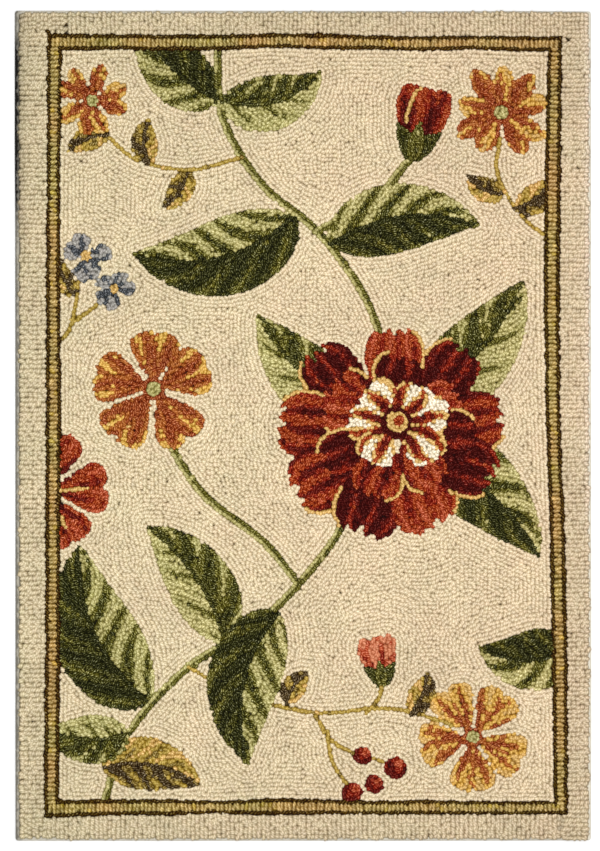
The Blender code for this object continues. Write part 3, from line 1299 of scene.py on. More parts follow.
def soft_noise(points, size, random):
    """Smooth noise from -1 to 1 over the cloth, in patches about a size across."""
    spot = (points + NOISE_MARGIN) / size
    cell = np.floor(spot).astype(int)
    share = spot - cell
    share = share * share * (3 - 2 * share)
    lattice = random.uniform(-1.0, 1.0, cell.max(axis=0) + 2)
    near = lattice[cell[:, 0], cell[:, 1]] * (1 - share[:, 0])
    near += lattice[cell[:, 0] + 1, cell[:, 1]] * share[:, 0]
    far = lattice[cell[:, 0], cell[:, 1] + 1] * (1 - share[:, 0])
    far += lattice[cell[:, 0] + 1, cell[:, 1] + 1] * share[:, 0]
    return near * (1 - share[:, 1]) + far * share[:, 1]


# ---------------------------------------------------------------- one loop of yarn

# A loop is modelled one unit high and two wide, from its foot, which its neighbours
# press on, over its shoulder to a rounded crown, longer along the row than across it.
LOOP_SIDES = 5
FOOT_WIDTH = 1.45
SHOULDER_HEIGHT = 0.80
CROWN_HEIGHT = 0.97
TOP_RISE = 0.03
CROWN_ALONG = 0.60
CROWN_ACROSS = 0.30
LoopShape = namedtuple("LoopShape", "points sides top bottom shade")
# The heights of a loop's foot, shoulder, crown and top, and the painted shade on its yarn
# there: darkest at the foot, with a painted highlight at the top.
PART_HEIGHTS = (0.0, SHOULDER_HEIGHT, CROWN_HEIGHT, CROWN_HEIGHT + TOP_RISE)
SHADES = (0.50, 0.66, 1.00, 1.24)


@lru_cache(maxsize=None)
def modelled_loop():
    """Models one loop and reads its points and faces, so that it can be copied."""
    deselect_all()
    bpy.ops.mesh.primitive_cylinder_add(vertices=LOOP_SIDES, radius=1.0, depth=SHOULDER_HEIGHT)
    loop = bpy.context.object
    bpy.ops.object.mode_set(mode="EDIT")
    bpy.ops.mesh.select_all(action="SELECT")
    bpy.ops.transform.translate(value=(0.0, 0.0, SHOULDER_HEIGHT / 2))
    select_parts("faces", lambda face: face.normal.z > FACING)
    rise = {"value": (0.0, 0.0, CROWN_HEIGHT - SHOULDER_HEIGHT)}
    bpy.ops.mesh.extrude_region_move(TRANSFORM_OT_translate=rise)
    bpy.ops.transform.resize(value=(CROWN_ALONG, CROWN_ACROSS, 1.0))
    bpy.ops.mesh.poke(offset=TOP_RISE)
    select_parts("faces", lambda face: face.normal.z < -FACING)
    bpy.ops.transform.resize(value=(FOOT_WIDTH, FOOT_WIDTH, 1.0))
    bpy.ops.object.mode_set(mode="OBJECT")
    mesh = loop.data
    points = points_of(mesh)
    faces = {3: [], 4: [], LOOP_SIDES: []}
    for face in mesh.polygons:
        faces[len(face.vertices)].append(tuple(face.vertices))
    bpy.data.objects.remove(loop, do_unlink=True)
    bpy.data.meshes.remove(mesh)
    shade = np.interp(points[:, 2], PART_HEIGHTS, SHADES)
    sorted_faces = [np.array(sorted(faces[sides])) for sides in (4, 3, LOOP_SIDES)]
    return LoopShape(points, *sorted_faces, shade)


LoopForms = namedtuple("LoopForms", "angle lean height along across tint twist")
PILE_FOOT = 0.0010
# How far the feet of the outermost loops stay inside the cloth's edge, and how far the
# top of an even loop stays under the height of the pile.
FOOT_MARGIN = 0.0017
TOP_MARGIN = 0.0003
# Beside the rug's edge loops lean outward, stand lower and are narrower.
EDGE_REACH = 7.0
EDGE_LEAN = 0.4
EDGE_DROP = 1.1
EDGE_NARROWING = 0.12
# How much one loop differs from the next, in millimetres, as shares or in radians, and
# the limits of how far it may.
LEAN_SPREAD = 0.42
HEIGHT_SPREAD = 0.25
HEIGHT_LIMITS = (-1.8, 0.3)
WIDTH_SPREAD = 0.07
WIDTH_LIMITS = (-0.15, 0.15)
LOOP_STRETCH = 1.08
STRETCH_SPREAD = 0.08
STRETCH_LIMITS = (-0.16, 0.2)
TURN_SPREAD = 0.55
LINE_TURN_SPREAD = 0.20
# Brightness drifts over the cloth in small and in large patches: their size and share.
DRIFTS = ((22.0, 0.045), (60.0, 0.030))
# The wool is warmer in some patches than in others, most of all that of the frame
# lines, and the loops are coloured a little warmer to the right than to the left. Warmth
# adds to the red and takes a share of itself from the green.
WARMTH_PATCH = 28.6
WARMTH = 0.010
LINE_WARMTH = 0.075
WARMTH_SPREAD = 0.005
WARMTH_DRIFT = 0.017
GREEN_SHARE = 0.7
BLUE_SPREAD = 0.009
# Painted shade darkens the outer loops along the left edge, and painted light lightens
# those along the right: how much at places from near to far, and how far in that reaches.
# At the near end the left values are below 0 and lighten a little.
EDGE_STATIONS = (-400.0, -130.0, -60.0, 150.0, 200.0, 385.0)
LEFT_PAINTED_SHADE = (-0.08, -0.06, 0.02, 0.04, 0.27, 0.27)
LEFT_PAINTED_SHADE_REACH = 4.8
RIGHT_PAINTED_LIGHT = (0.1, 0.2, 0.9, 1.0, 1.0, 1.0)
RIGHT_PAINTED_LIGHT_REACH = 3.2
# The colour that the painted light adds, most of it to blue.
PAINTED_LIGHT_COLOUR = (0.19, 0.21, 0.36)
# How much lighter or darker the plain band is on each side, at the same places.
LEFT_BAND_TONE = (-0.010, 0.000, 0.035, 0.040, 0.035, 0.020)
RIGHT_BAND_TONE = (-0.040, -0.020, 0.000, 0.000, 0.000, 0.000)
# Where the pile is thin: a place, how far it reaches and how deep its shade is.
ThinPlace = namedtuple("ThinPlace", "x y reach depth")
THIN_PLACES = (
    ThinPlace(-230.0, 386.6, reach=2.4, depth=0.50),
    ThinPlace(250.8, -391.3, reach=2.6, depth=0.60),
    ThinPlace(252.0, -385.0, reach=2.4, depth=0.45),
    ThinPlace(-225.6, -387.4, reach=2.4, depth=0.30),
    ThinPlace(-218.0, -387.8, reach=2.4, depth=0.30),
    ThinPlace(64.9, -387.4, reach=2.4, depth=0.30),
)


def edge_tones(points):
    """How much darker or paler than the rest the loops beside the long edges are."""
    x, y = points.T
    from_left = np.clip(x + HALF_X - LEFT_BAND.edge_gap, 0.0, None)
    from_right = np.clip(HALF_X - RIGHT_BAND.edge_gap - x, 0.0, None)
    painted_shade = np.interp(y, EDGE_STATIONS, LEFT_PAINTED_SHADE) * np.exp(-from_left / LEFT_PAINTED_SHADE_REACH)
    painted_light = np.interp(y, EDGE_STATIONS, RIGHT_PAINTED_LIGHT) * np.exp(-from_right / RIGHT_PAINTED_LIGHT_REACH)
    band_tone = np.where(x < min(OUTER_LINE.left), np.interp(y, EDGE_STATIONS, LEFT_BAND_TONE), 0.0)
    band_tone += np.where(x > max(OUTER_LINE.right), np.interp(y, EDGE_STATIONS, RIGHT_BAND_TONE), 0.0)
    return 1 + (band_tone - painted_shade)[:, None] + painted_light[:, None] * PAINTED_LIGHT_COLOUR


def differing(random, amount, limits, count):
    """Random differences, none past the limits."""
    return np.clip(random.normal(0.0, amount, count), *limits)


@lru_cache(maxsize=None)
def loop_forms():
    """How each loop stands and how its yarn differs from the next."""
    loops = planned_loops()
    points = loops.points
    random = np.random.default_rng(SEED + 1)
    count = len(points)
    inside = (HALF_X, HALF_Y) - np.abs(points)
    outward = np.clip(1 - inside / EDGE_REACH, 0.0, 1.0) * np.sign(points)
    at_edge = np.abs(outward).max(axis=1)
    lean = random.normal(0.0, LEAN_SPREAD, (count, 2)) + outward * EDGE_LEAN
    height = random.normal(0.0, HEIGHT_SPREAD, count) - at_edge * EDGE_DROP
    width = 1 + differing(random, WIDTH_SPREAD, WIDTH_LIMITS, count)
    width *= loops.sizes
    width *= 1 - EDGE_NARROWING * at_edge
    stretch = LOOP_STRETCH + differing(random, STRETCH_SPREAD, STRETCH_LIMITS, count)
    stretch = loops.stretches * stretch
    in_lines = loops.motifs == LINES
    unevenness = np.array([wool.unevenness for wool in WOOLS.values()])[loops.motifs]
    brightness = np.exp(random.normal(0.0, 1.0, count) * unevenness)
    for size, share in DRIFTS:
        brightness *= 1 + share * soft_noise(points, size, random)
    for thin in THIN_PLACES:
        steps = (points - (thin.x, thin.y)) / thin.reach
        shade = thin.depth * np.exp(-(steps**2).sum(axis=1))
        brightness *= 1 - shade
        height -= shade
    drift = soft_noise(points, WARMTH_PATCH, random)
    warmth = np.where(in_lines, LINE_WARMTH, WARMTH) * drift
    warmth += random.normal(0.0, WARMTH_SPREAD, count) + WARMTH_DRIFT * points[:, 0] / HALF_X
    tint = np.column_stack((1 + warmth, 1 - warmth * GREEN_SHARE, np.ones(count)))
    tint *= brightness[:, None]
    tint[:, 2] *= 1 + random.normal(0.0, BLUE_SPREAD, count)
    # Painted shade along the left edge and painted light along the right.
    tint *= edge_tones(points)
    turn_spread = np.where(in_lines, LINE_TURN_SPREAD, TURN_SPREAD)
    turn = loops.angles + turn_spread * random.normal(0.0, 1.0, count)
    twist = random.uniform(0.0, 1.0, (count, 2))
    return LoopForms(turn, lean, height, width * stretch, width / stretch, tint, twist)


def stood_points(chosen, sizes):
    """The corners of the chosen loops, in metres: one row of corners for each loop."""
    points = planned_loops().points[chosen]
    forms = LoopForms(*(values[chosen] for values in loop_forms()))
    shape = modelled_loop().points
    radius = sizes.loop_radius
    along = shape[:, 0] * forms.along[:, None] * radius
    across = shape[:, 1] * forms.across[:, None] * radius
    cosine = np.cos(forms.angle)[:, None]
    sine = np.sin(forms.angle)[:, None]
    rise = shape[:, 2] ** 2
    x = points[:, :1] * MM + along * cosine - across * sine + forms.lean[:, :1] * MM * rise
    y = points[:, 1:] * MM + along * sine + across * cosine + forms.lean[:, 1:] * MM * rise
    top = sizes.pile_height - TOP_MARGIN + np.clip(forms.height, *HEIGHT_LIMITS)[:, None] * MM
    z = PILE_FOOT + shape[:, 2] * (top - PILE_FOOT)
    foot = shape[:, 2] < SHOULDER_HEIGHT / 2
    for places, size in ((x, RUG_WIDTH), (y, RUG_LENGTH)):
        places[:, foot] = np.clip(places[:, foot], FOOT_MARGIN - size / 2, size / 2 - FOOT_MARGIN)
    return np.stack((x, y, z), axis=2)


# Where a loop's corners lie in its cell of the baking map: how far from the cell's
# middle the foot, shoulder, crown and top are, and where the hidden underside is.
CELL_REACHES = (0.46, 0.36, 0.21, 0.0)
UNDERSIDE_PLACE = 0.43
UNDERSIDE_REACH = 0.03


def corner_map(mesh, name, values):
    layer = mesh.uv_layers.new(name=name)
    layer.uv.foreach_set("vector", np.asarray(values, np.float32).ravel())


def map_corners(mesh, count, twist):
    """Gives the loops two maps: one for the yarn's twist and one with a cell for each."""
    shape = modelled_loop()
    corners = np.empty(len(mesh.loops), np.int32)
    mesh.loops.foreach_get("vertex_index", corners)
    corner, number = corners % len(shape.points), corners // len(shape.points)
    corner_map(mesh, "loop_uv", shape.points[corner, :2] * 0.5 + 0.5 + twist[number])
    flat = shape.points[:, :2] / np.maximum(np.hypot(*shape.points[:, :2].T), TINY)[:, None]
    reach = np.interp(shape.points[:, 2], PART_HEIGHTS, CELL_REACHES)
    spots = (flat * reach[:, None])[corner]
    underside = np.arange(len(corners)) >= len(corners) - count * LOOP_SIDES
    spots[underside] = UNDERSIDE_PLACE + (flat * UNDERSIDE_REACH)[corner[underside]] * (-1, 1)
    side = math.ceil(math.sqrt(count))
    cell = np.column_stack((number % side, number // side))
    corner_map(mesh, "OFBake", (cell + 0.5 + spots) / side)


def hook_piece(name, chosen, material):
    """One piece of the pile: a copy of the modelled loop at each chosen place."""
    scene = bpy.context.scene
    shape = modelled_loop()
    count = len(chosen)
    points = stood_points(chosen, scene.rug_sizes)
    first = np.arange(count)[:, None] * len(shape.points)
    faces = (shape.sides[None] + first[:, :, None]).reshape(-1, 4).tolist()
    faces += (shape.top[None] + first[:, :, None]).reshape(-1, 3).tolist()
    faces += (shape.bottom + first).tolist()
    mesh = bpy.data.meshes.new(name)
    mesh.from_pydata(points.reshape(-1, 3), [], faces)
    mesh.shade_smooth()
    map_corners(mesh, count, loop_forms().twist[chosen])
    yarns = np.array([tuple(getattr(scene.rug_yarns, yarn)) for yarn in YARNS])
    colours = yarns[planned_loops().yarns[chosen]] * loop_forms().tint[chosen]
    colours = np.clip(np.insert(colours, 3, 1.0, axis=1), 0.0, 1.0)
    layer = mesh.color_attributes.new(name="yarn", type="FLOAT_COLOR", domain="POINT")
    layer.data.foreach_set("color", np.repeat(colours, len(shape.points), axis=0).ravel())
    # Each point carries the painted shade of its part of the loop: darkest at the foot, with a painted
    # highlight at the top.
    layer = mesh.attributes.new(name="shade", type="FLOAT", domain="POINT")
    layer.data.foreach_set("value", np.tile(shape.shade, count))
    mesh.materials.append(material)
    piece = bpy.data.objects.new(name, mesh)
    scene.collection.objects.link(piece)
    dress(piece)


def dress(piece):
    """Makes a piece part of the rug: it rides with it and stands for its solid."""
    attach(piece, BODY)
    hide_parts(NODE)


def hook_motif(name, motif):
    """Hooks all the loops of a motif, in one piece or in bands from near to far."""
    loops = planned_loops()
    material = wool_material(name + "_wool", WOOLS[motif])
    chosen = np.nonzero(loops.motifs == motif)[0]
    if not len(chosen):
        raise RuntimeError(f"no loops are planned for {name}")
    chosen = chosen[np.argsort(loops.points[chosen, 1], kind="stable")]
    parts = math.ceil(len(chosen) / LOOPS_PER_PIECE)
    for number, band in enumerate(np.array_split(chosen, parts)):
        label = f"{name}_loops_{number + 1}" if parts > 1 else f"{name}_loops"
        hook_piece(label, band, material)


# ---------------------------------------------------------------- finishes


def shader_node(tree, kind, inputs=None, **settings):
    """Adds a node; each of its inputs is a plain value or the output that feeds it."""
    node = tree.nodes.new(kind)
    for name, value in settings.items():
        setattr(node, name, value)
    for name, value in (inputs or {}).items():
        if isinstance(value, bpy.types.NodeSocket):
            tree.links.new(value, node.inputs[name])
        else:
            node.inputs[name].default_value = value
    return node


def maths(tree, operation, first, second=0.0, third=0.0):
    inputs = {0: first, 1: second, 2: third}
    return shader_node(tree, "ShaderNodeMath", inputs, operation=operation).outputs[0]


def spread(tree, value, start, end, at_start, at_end):
    """Maps a range of a value to another, and holds it there."""
    inputs = {"Value": value, "From Min": start, "From Max": end, "To Min": at_start, "To Max": at_end}
    return shader_node(tree, "ShaderNodeMapRange", inputs, clamp=True).outputs["Result"]


def off_middle(tree, value, middle, amount):
    """How far a value is above or below its middle, times an amount."""
    return maths(tree, "MULTIPLY", maths(tree, "SUBTRACT", value, middle), amount)


def own_place(tree):
    """The place on the object that is being shaded."""
    return shader_node(tree, "ShaderNodeTexCoord").outputs["Object"]


def noise(tree, spot, scale, detail, roughness=0.5):
    """Noise from 0 to 1."""
    inputs = {"Vector": spot, "Scale": scale, "Detail": detail, "Roughness": roughness}
    return shader_node(tree, "ShaderNodeTexNoise", inputs).outputs["Fac"]


def scaled(tree, colour, tone):
    """A colour times a tone."""
    inputs = {0: colour, "Scale": tone}
    return shader_node(tree, "ShaderNodeVectorMath", inputs, operation="SCALE").outputs[0]


def look_group(name, sockets):
    """A new node group with named inputs, and the outputs that each look gives."""
    group = bpy.data.node_groups.new(name, "ShaderNodeTree")
    for label, kind, value in sockets:
        socket = group.interface.new_socket(label, in_out="INPUT", socket_type=kind)
        socket.default_value = value
    for label, kind in (("Colour", "Color"), ("Roughness", "Float"), ("Height", "Float")):
        group.interface.new_socket(label, in_out="OUTPUT", socket_type="NodeSocket" + kind)
    given = group.nodes.new("NodeGroupInput").outputs
    return group, given, group.nodes.new("NodeGroupOutput").inputs


def give(group, outputs, colour, roughness, height):
    for name, value in (("Colour", colour), ("Roughness", roughness), ("Height", height)):
        group.links.new(value, outputs[name])


# Noise up to the first of these counts as its lowest, and from the second its highest.
NOISE_RANGE = (0.3, 0.7)
FIBRE_SCALE = 620.0
STRAND_TURN = 0.62
STRAND_SCALE = 1.0
# How high on a strand and on fibre the tone is the yarn's own, and how much of each the
# relief shows.
STRAND_MIDDLE = 0.6
FIBRE_MIDDLE = 0.5
STRAND_RELIEF = 0.6
FIBRE_RELIEF = 0.5
WOOL_ROUGHNESS = (0.80, 0.95)
# Painted shade darkens a loop's yarn at its foot and fades out up its side between these heights, in
# metres.
LIT_HEIGHTS = (0.0050, 0.0076)
# Strands, fibres and the shade between loops show more on dark wool than on pale: how
# light both are, and the shares of their depth that still show on the pale.
DARK_WOOL = 0.04
PALE_WOOL = 0.24
PALE_RELIEF = 0.22
PALE_DEPTH = 0.60
# Light on wool fibres is near white, so a loop's lights and darks differ by the same
# step in all three colours as the eye sees them. SEEN is the exponent of that scale.
SEEN = 1 / 2.2


@lru_cache(maxsize=None)
def yarn_look():
    """Plied wool: strands across each loop, stray fibre, painted shade at its foot and between loops,
    and a painted highlight at its top.
    """
    sockets = (
        ("Yarn", "NodeSocketColor", (0.5, 0.5, 0.5, 1.0)),
        ("Shade", "NodeSocketFloat", 1.0),
        ("Depth", "NodeSocketFloat", 1.0),
        ("Foot Light", "NodeSocketFloat", 0.5),
        ("Fibre", "NodeSocketFloat", 0.2),
        ("Strand", "NodeSocketFloat", 0.2),
    )
    group, given, wanted = look_group("yarn_look", sockets)
    spot = own_place(group)
    height = shader_node(group, "ShaderNodeSeparateXYZ", {0: spot}).outputs["Z"]
    lift = spread(group, height, *LIT_HEIGHTS, 0.0, 1.0)
    fibre = noise(group, spot, FIBRE_SCALE, detail=3.0, roughness=0.6)
    on_loop = shader_node(group, "ShaderNodeUVMap", uv_map="loop_uv").outputs["UV"]
    turn = {"Vector": on_loop, "Rotation": (0.0, 0.0, STRAND_TURN)}
    turned = shader_node(group, "ShaderNodeMapping", turn).outputs["Vector"]
    wave = {"Vector": turned, "Scale": STRAND_SCALE, "Distortion": 1.2, "Detail": 1.0}
    strand = shader_node(group, "ShaderNodeTexWave", wave).outputs["Fac"]
    foot = maths(group, "SUBTRACT", 1.0, given["Foot Light"])
    shade = maths(group, "ADD", given["Foot Light"], maths(group, "MULTIPLY", foot, lift))
    grain = off_middle(group, fibre, FIBRE_MIDDLE, given["Fibre"])
    ply = off_middle(group, strand, STRAND_MIDDLE, given["Strand"])
    light = shader_node(group, "ShaderNodeRGBToBW", {"Color": given["Yarn"]}).outputs["Val"]
    relief_seen = spread(group, light, DARK_WOOL, PALE_WOOL, 1.0, PALE_RELIEF)
    uneven = maths(group, "MULTIPLY", maths(group, "ADD", grain, ply), relief_seen)
    depth = spread(group, light, DARK_WOOL, PALE_WOOL, 1.0, PALE_DEPTH)
    depth = maths(group, "MULTIPLY", depth, given["Depth"])
    shade = maths(group, "MULTIPLY", shade, maths(group, "POWER", given["Shade"], depth))
    tone = maths(group, "MULTIPLY", shade, maths(group, "EXPONENT", uneven))
    step = maths(group, "SUBTRACT", maths(group, "POWER", tone, SEEN), 1.0)
    step = maths(group, "MULTIPLY", step, maths(group, "POWER", light, SEEN))
    seen = shader_node(group, "ShaderNodeGamma", {"Color": given["Yarn"], "Gamma": SEEN}).outputs[0]
    seen = shader_node(group, "ShaderNodeVectorMath", {0: seen, 1: step}, operation="ADD").outputs[0]
    seen = shader_node(group, "ShaderNodeVectorMath", {0: seen}, operation="MAXIMUM").outputs[0]
    colour = shader_node(group, "ShaderNodeGamma", {"Color": seen, "Gamma": 1 / SEEN}).outputs[0]
    strands = maths(group, "MULTIPLY", strand, STRAND_RELIEF)
    relief = maths(group, "ADD", strands, maths(group, "MULTIPLY", fibre, FIBRE_RELIEF))
    give(group, wanted, colour, spread(group, fibre, *NOISE_RANGE, *WOOL_ROUGHNESS), relief)
    return group


MOTTLE_SCALE = 90.0
# The tone of the canvas between its threads and on them, and its roughness.
THREAD_TONES = (0.72, 1.02)
CANVAS_ROUGHNESS = (0.82, 0.94)


@lru_cache(maxsize=None)
def weave_look():
    """Plain-woven canvas: threads over and under each other, a little uneven."""
    sockets = (
        ("Thread", "NodeSocketColor", (0.5, 0.5, 0.5, 1.0)),
        ("Thread Scale", "NodeSocketFloat", 1.0),
        ("Unevenness", "NodeSocketFloat", 0.2),
        ("Wear", "NodeSocketFloat", 0.0),
    )
    group, given, wanted = look_group("weave_look", sockets)
    spot = own_place(group)
    grid = {"Vector": spot, "Scale": given["Thread Scale"], "Distortion": 0.3, "Detail": 1.0}
    warp = shader_node(group, "ShaderNodeTexWave", grid, bands_direction="X").outputs["Fac"]
    weft = shader_node(group, "ShaderNodeTexWave", grid, bands_direction="Y").outputs["Fac"]
    woven = maths(group, "MAXIMUM", warp, weft)
    mottle = noise(group, spot, MOTTLE_SCALE, detail=4.0)
    uneven = off_middle(group, mottle, 0.5, given["Unevenness"])
    tone = maths(group, "ADD", spread(group, woven, 0.0, 1.0, *THREAD_TONES), uneven)
    # Painted shade darkens the canvas by this share, and where it is below 0 painted light makes it
    # paler.
    tone = maths(group, "MULTIPLY", tone, maths(group, "SUBTRACT", 1.0, given["Wear"]))
    roughness = spread(group, mottle, *NOISE_RANGE, *CANVAS_ROUGHNESS)
    give(group, wanted, scaled(group, given["Thread"], tone), roughness, woven)
    return group


SPECULAR_LEVEL = 0.06
SHEEN_ROUGHNESS = 0.5


def matt_material(name, bump, depth, sheen=0.0):
    """A matt material whose shader waits for a look. depth is how deep its bumps are."""
    material = bpy.data.materials.new(name)
    material.use_nodes = True
    tree = material.node_tree
    shader = tree.nodes["Principled BSDF"]
    shader.inputs["Specular IOR Level"].default_value = SPECULAR_LEVEL
    shader.inputs["Sheen Weight"].default_value = sheen
    shader.inputs["Sheen Roughness"].default_value = SHEEN_ROUGHNESS
    relief = shader_node(tree, "ShaderNodeBump", {"Strength": bump, "Distance": depth})
    tree.links.new(relief.outputs["Normal"], shader.inputs["Normal"])
    return material, tree, shader, relief


def add_look(tree, shader, relief, group, inputs):
    """Places a look in a material and feeds its shader."""
    look = shader_node(tree, "ShaderNodeGroup", inputs, node_tree=group)
    tree.links.new(look.outputs["Colour"], shader.inputs["Base Color"])
    tree.links.new(look.outputs["Roughness"], shader.inputs["Roughness"])
    tree.links.new(look.outputs["Height"], relief.inputs["Height"])


def wool_material(name, wool):
    """Wool loops in the colours that each loop carries."""
    material, tree, shader, relief = matt_material(name, bump=0.5, depth=0.0003, sheen=0.02)
    inputs = {
        "Yarn": shader_node(tree, "ShaderNodeAttribute", attribute_name="yarn").outputs["Color"],
        "Shade": shader_node(tree, "ShaderNodeAttribute", attribute_name="shade").outputs["Fac"],
        "Depth": wool.depth,
        "Foot Light": wool.foot_light,
        "Fibre": wool.fibre,
        "Strand": wool.strand,
    }
    add_look(tree, shader, relief, yarn_look(), inputs)
    return material


# Painted shade darkens the left edge along its rim and in a strip beside it. In its upper
# stretch the strip is darker and the rim less dark. Painted light makes the right edge
# paler. Each place is in metres, from where a tone starts to change to where it ends, and
# wanders with noise.
EDGE_WANDER_SCALE = 210.0
EDGE_WANDER = 0.0075
RIM = (-0.2796, -0.2780)
STRIP = (-0.2769, -0.2736)
LIT_EDGE = (0.2750, 0.2775)
STRETCH_START = (0.195, 0.222)
STRETCH_END = (0.370, 0.382)
# How dark the painted shade of the rim and the strip is, how much that changes in the upper
# stretch, what share of that change is left past its end, and how much paler the painted
# light makes the lit edge.
RIM_DARK = (0.36, -0.08)
STRIP_DARK = (0.32, 0.38)
PAST_STRETCH = 0.1
EDGE_PAINTED_LIGHT = 0.28


def painted_edge_shade_and_light(tree):
    """How dark painted shade makes the left edge and how pale painted light makes the right."""
    spot = own_place(tree)
    parts = shader_node(tree, "ShaderNodeSeparateXYZ", {0: spot}).outputs
    wander_noise = noise(tree, spot, EDGE_WANDER_SCALE, detail=2.0)
    across = maths(tree, "ADD", parts["X"], off_middle(tree, wander_noise, 0.5, EDGE_WANDER))
    rim = spread(tree, across, *RIM, 1.0, 0.0)
    strip = spread(tree, across, *STRIP, 1.0, 0.0)
    start = spread(tree, parts["Y"], *STRETCH_START, 0.0, 1.0)
    end = spread(tree, parts["Y"], *STRETCH_END, 1.0, PAST_STRETCH)
    stretch = maths(tree, "MULTIPLY", start, end)
    rim_dark = maths(tree, "MULTIPLY_ADD", stretch, RIM_DARK[1], RIM_DARK[0])
    strip_dark = maths(tree, "MULTIPLY_ADD", stretch, STRIP_DARK[1], STRIP_DARK[0])
    left = maths(tree, "MULTIPLY_ADD", strip, strip_dark, maths(tree, "MULTIPLY", rim, rim_dark))
    return maths(tree, "ADD", left, spread(tree, across, *LIT_EDGE, 0.0, -EDGE_PAINTED_LIGHT))


def canvas_material(name, colour):
    """Woven cotton cloth."""
    material, tree, shader, relief = matt_material(name, bump=0.6, depth=0.0002)
    inputs = {
        "Thread": (*colour, 1.0),
        "Thread Scale": THREAD_SCALE,
        "Unevenness": THREAD_UNEVENNESS,
        # Painted shade along the left edge and painted light along the right.
        "Wear": painted_edge_shade_and_light(tree),
    }
    add_look(tree, shader, relief, weave_look(), inputs)
    return material


# ---------------------------------------------------------------- the foundation cloth

HEM_CORNER = 0.0026
CORNER_STEPS = 4
HEM_ROUNDING = 0.0013
ROUNDING_STEPS = 3
SMOOTH_ANGLE = 50.0
STEP_WIDTH = 0.0010
TURNING_STEP = 0.0008
CLOTH_STATION = 0.012
# How near to a height a point of the cloth counts as lying at it.
HEIGHT_TOLERANCE = 1e-5
# The waves of the hem: the size of their patches in millimetres, their height, and the
# height on the cloth that they start at and how far above it they are full.
WAVE_PATCH = 26.0
WAVE_HEIGHT = 0.00022
WAVE_FOOT = 0.0012
WAVE_RISE = 0.0028
THREAD_SCALE = 370.0
THREAD_UNEVENNESS = 0.35
HEM_COLOUR = (0.60, 0.56, 0.46)
# The cloth under the pile is the same cloth as the hem, given a darker colour as painted shade where it
# shows between the loops.
PILE_CANVAS_IN_SHADE = (0.46, 0.40, 0.28)


def stray_at(table, share):
    """The smooth value of a table of strays at shares of the way along a side."""
    spot = np.clip(share, 0.0, 1.0) * (len(table) - 1)
    low = np.minimum(spot.astype(int), len(table) - 2)
    ease = 0.5 - 0.5 * np.cos(math.pi * (spot - low))
    table = np.array(table)
    return table[low] + (table[low + 1] - table[low]) * ease


def strayed(points):
    """Moves the points of a true rectangle out or in by the strays of its sides."""
    x, y = points[:, 0], points[:, 1]
    along_x = x / RUG_WIDTH + 0.5
    along_y = y / RUG_LENGTH + 0.5
    side = np.where(x > 0, stray_at(RIGHT_STRAY, along_y), stray_at(LEFT_STRAY, along_y))
    end = np.where(y > 0, stray_at(FAR_STRAY, along_x), stray_at(NEAR_STRAY, along_x))
    moved = points.copy()
    moved[:, 0] += np.sign(x) * side * np.abs(x) / (RUG_WIDTH / 2)
    moved[:, 1] += np.sign(y) * end * np.abs(y) / (RUG_LENGTH / 2)
    middle = (moved.max(axis=0) + moved.min(axis=0)) / 2
    moved[:, :2] -= middle[:2]
    return moved


def cut_across(span, axis, steps):
    """Cuts the cloth at even stations and at its two steps, on both sides."""
    normal = [0.0, 0.0, 0.0]
    normal[axis] = 1.0
    inner = span / 2 - max(steps)
    stations = list(even_steps(-inner, inner, CLOTH_STATION))
    for step in steps:
        stations += [step - span / 2, span / 2 - step]
    for station in sorted(set(stations)):
        cut = [0.0, 0.0, 0.0]
        cut[axis] = station
        bpy.ops.mesh.select_all(action="SELECT")
        bpy.ops.mesh.bisect(plane_co=cut, plane_no=normal)


def press_in(height, margin, shift):
    """Moves the middle of a face of the cloth, inside a margin, up or down."""
    half_x = RUG_WIDTH / 2 - margin
    half_y = RUG_LENGTH / 2 - margin

    def in_middle(vert):
        level = abs(vert.co.z - height) < HEIGHT_TOLERANCE
        return level and abs(vert.co.x) < half_x and abs(vert.co.y) < half_y

    select_parts("verts", in_middle)
    bpy.ops.transform.translate(value=(0.0, 0.0, shift))


def modelled_cloth(sizes):
    """The foundation cloth, its edge folded to a hem and turned under."""
    deselect_all()
    bpy.ops.mesh.primitive_cube_add(size=1.0, location=(0.0, 0.0, sizes.hem_height / 2))
    cloth = bpy.context.object
    cloth.name = cloth.data.name = "foundation_cloth"
    cloth.scale = (RUG_WIDTH, RUG_LENGTH, sizes.hem_height)
    bpy.ops.object.transform_apply(location=True, rotation=True, scale=True)
    bpy.ops.object.mode_set(mode="EDIT")
    select_parts("edges", lambda edge: abs(edge.verts[0].co.z - edge.verts[1].co.z) > HEIGHT_TOLERANCE)
    bpy.ops.mesh.bevel(offset=HEM_CORNER, segments=CORNER_STEPS)
    select_parts("edges", lambda edge: len({round(face.normal.z) for face in edge.link_faces}) > 1)
    bpy.ops.mesh.bevel(offset=HEM_ROUNDING, segments=ROUNDING_STEPS)
    hem_step = (sizes.hem_width, sizes.hem_width + STEP_WIDTH)
    under_step = (sizes.turning, sizes.turning + STEP_WIDTH)
    cut_across(RUG_WIDTH, 0, hem_step + under_step)
    cut_across(RUG_LENGTH, 1, hem_step + under_step)
    press_in(sizes.hem_height, hem_step[0] + STEP_WIDTH / 2, sizes.cloth_height - sizes.hem_height)
    press_in(0.0, under_step[0] + STEP_WIDTH / 2, TURNING_STEP)
    bpy.ops.object.mode_set(mode="OBJECT")
    bpy.ops.object.shade_smooth_by_angle(angle=math.radians(SMOOTH_ANGLE))
    return cloth


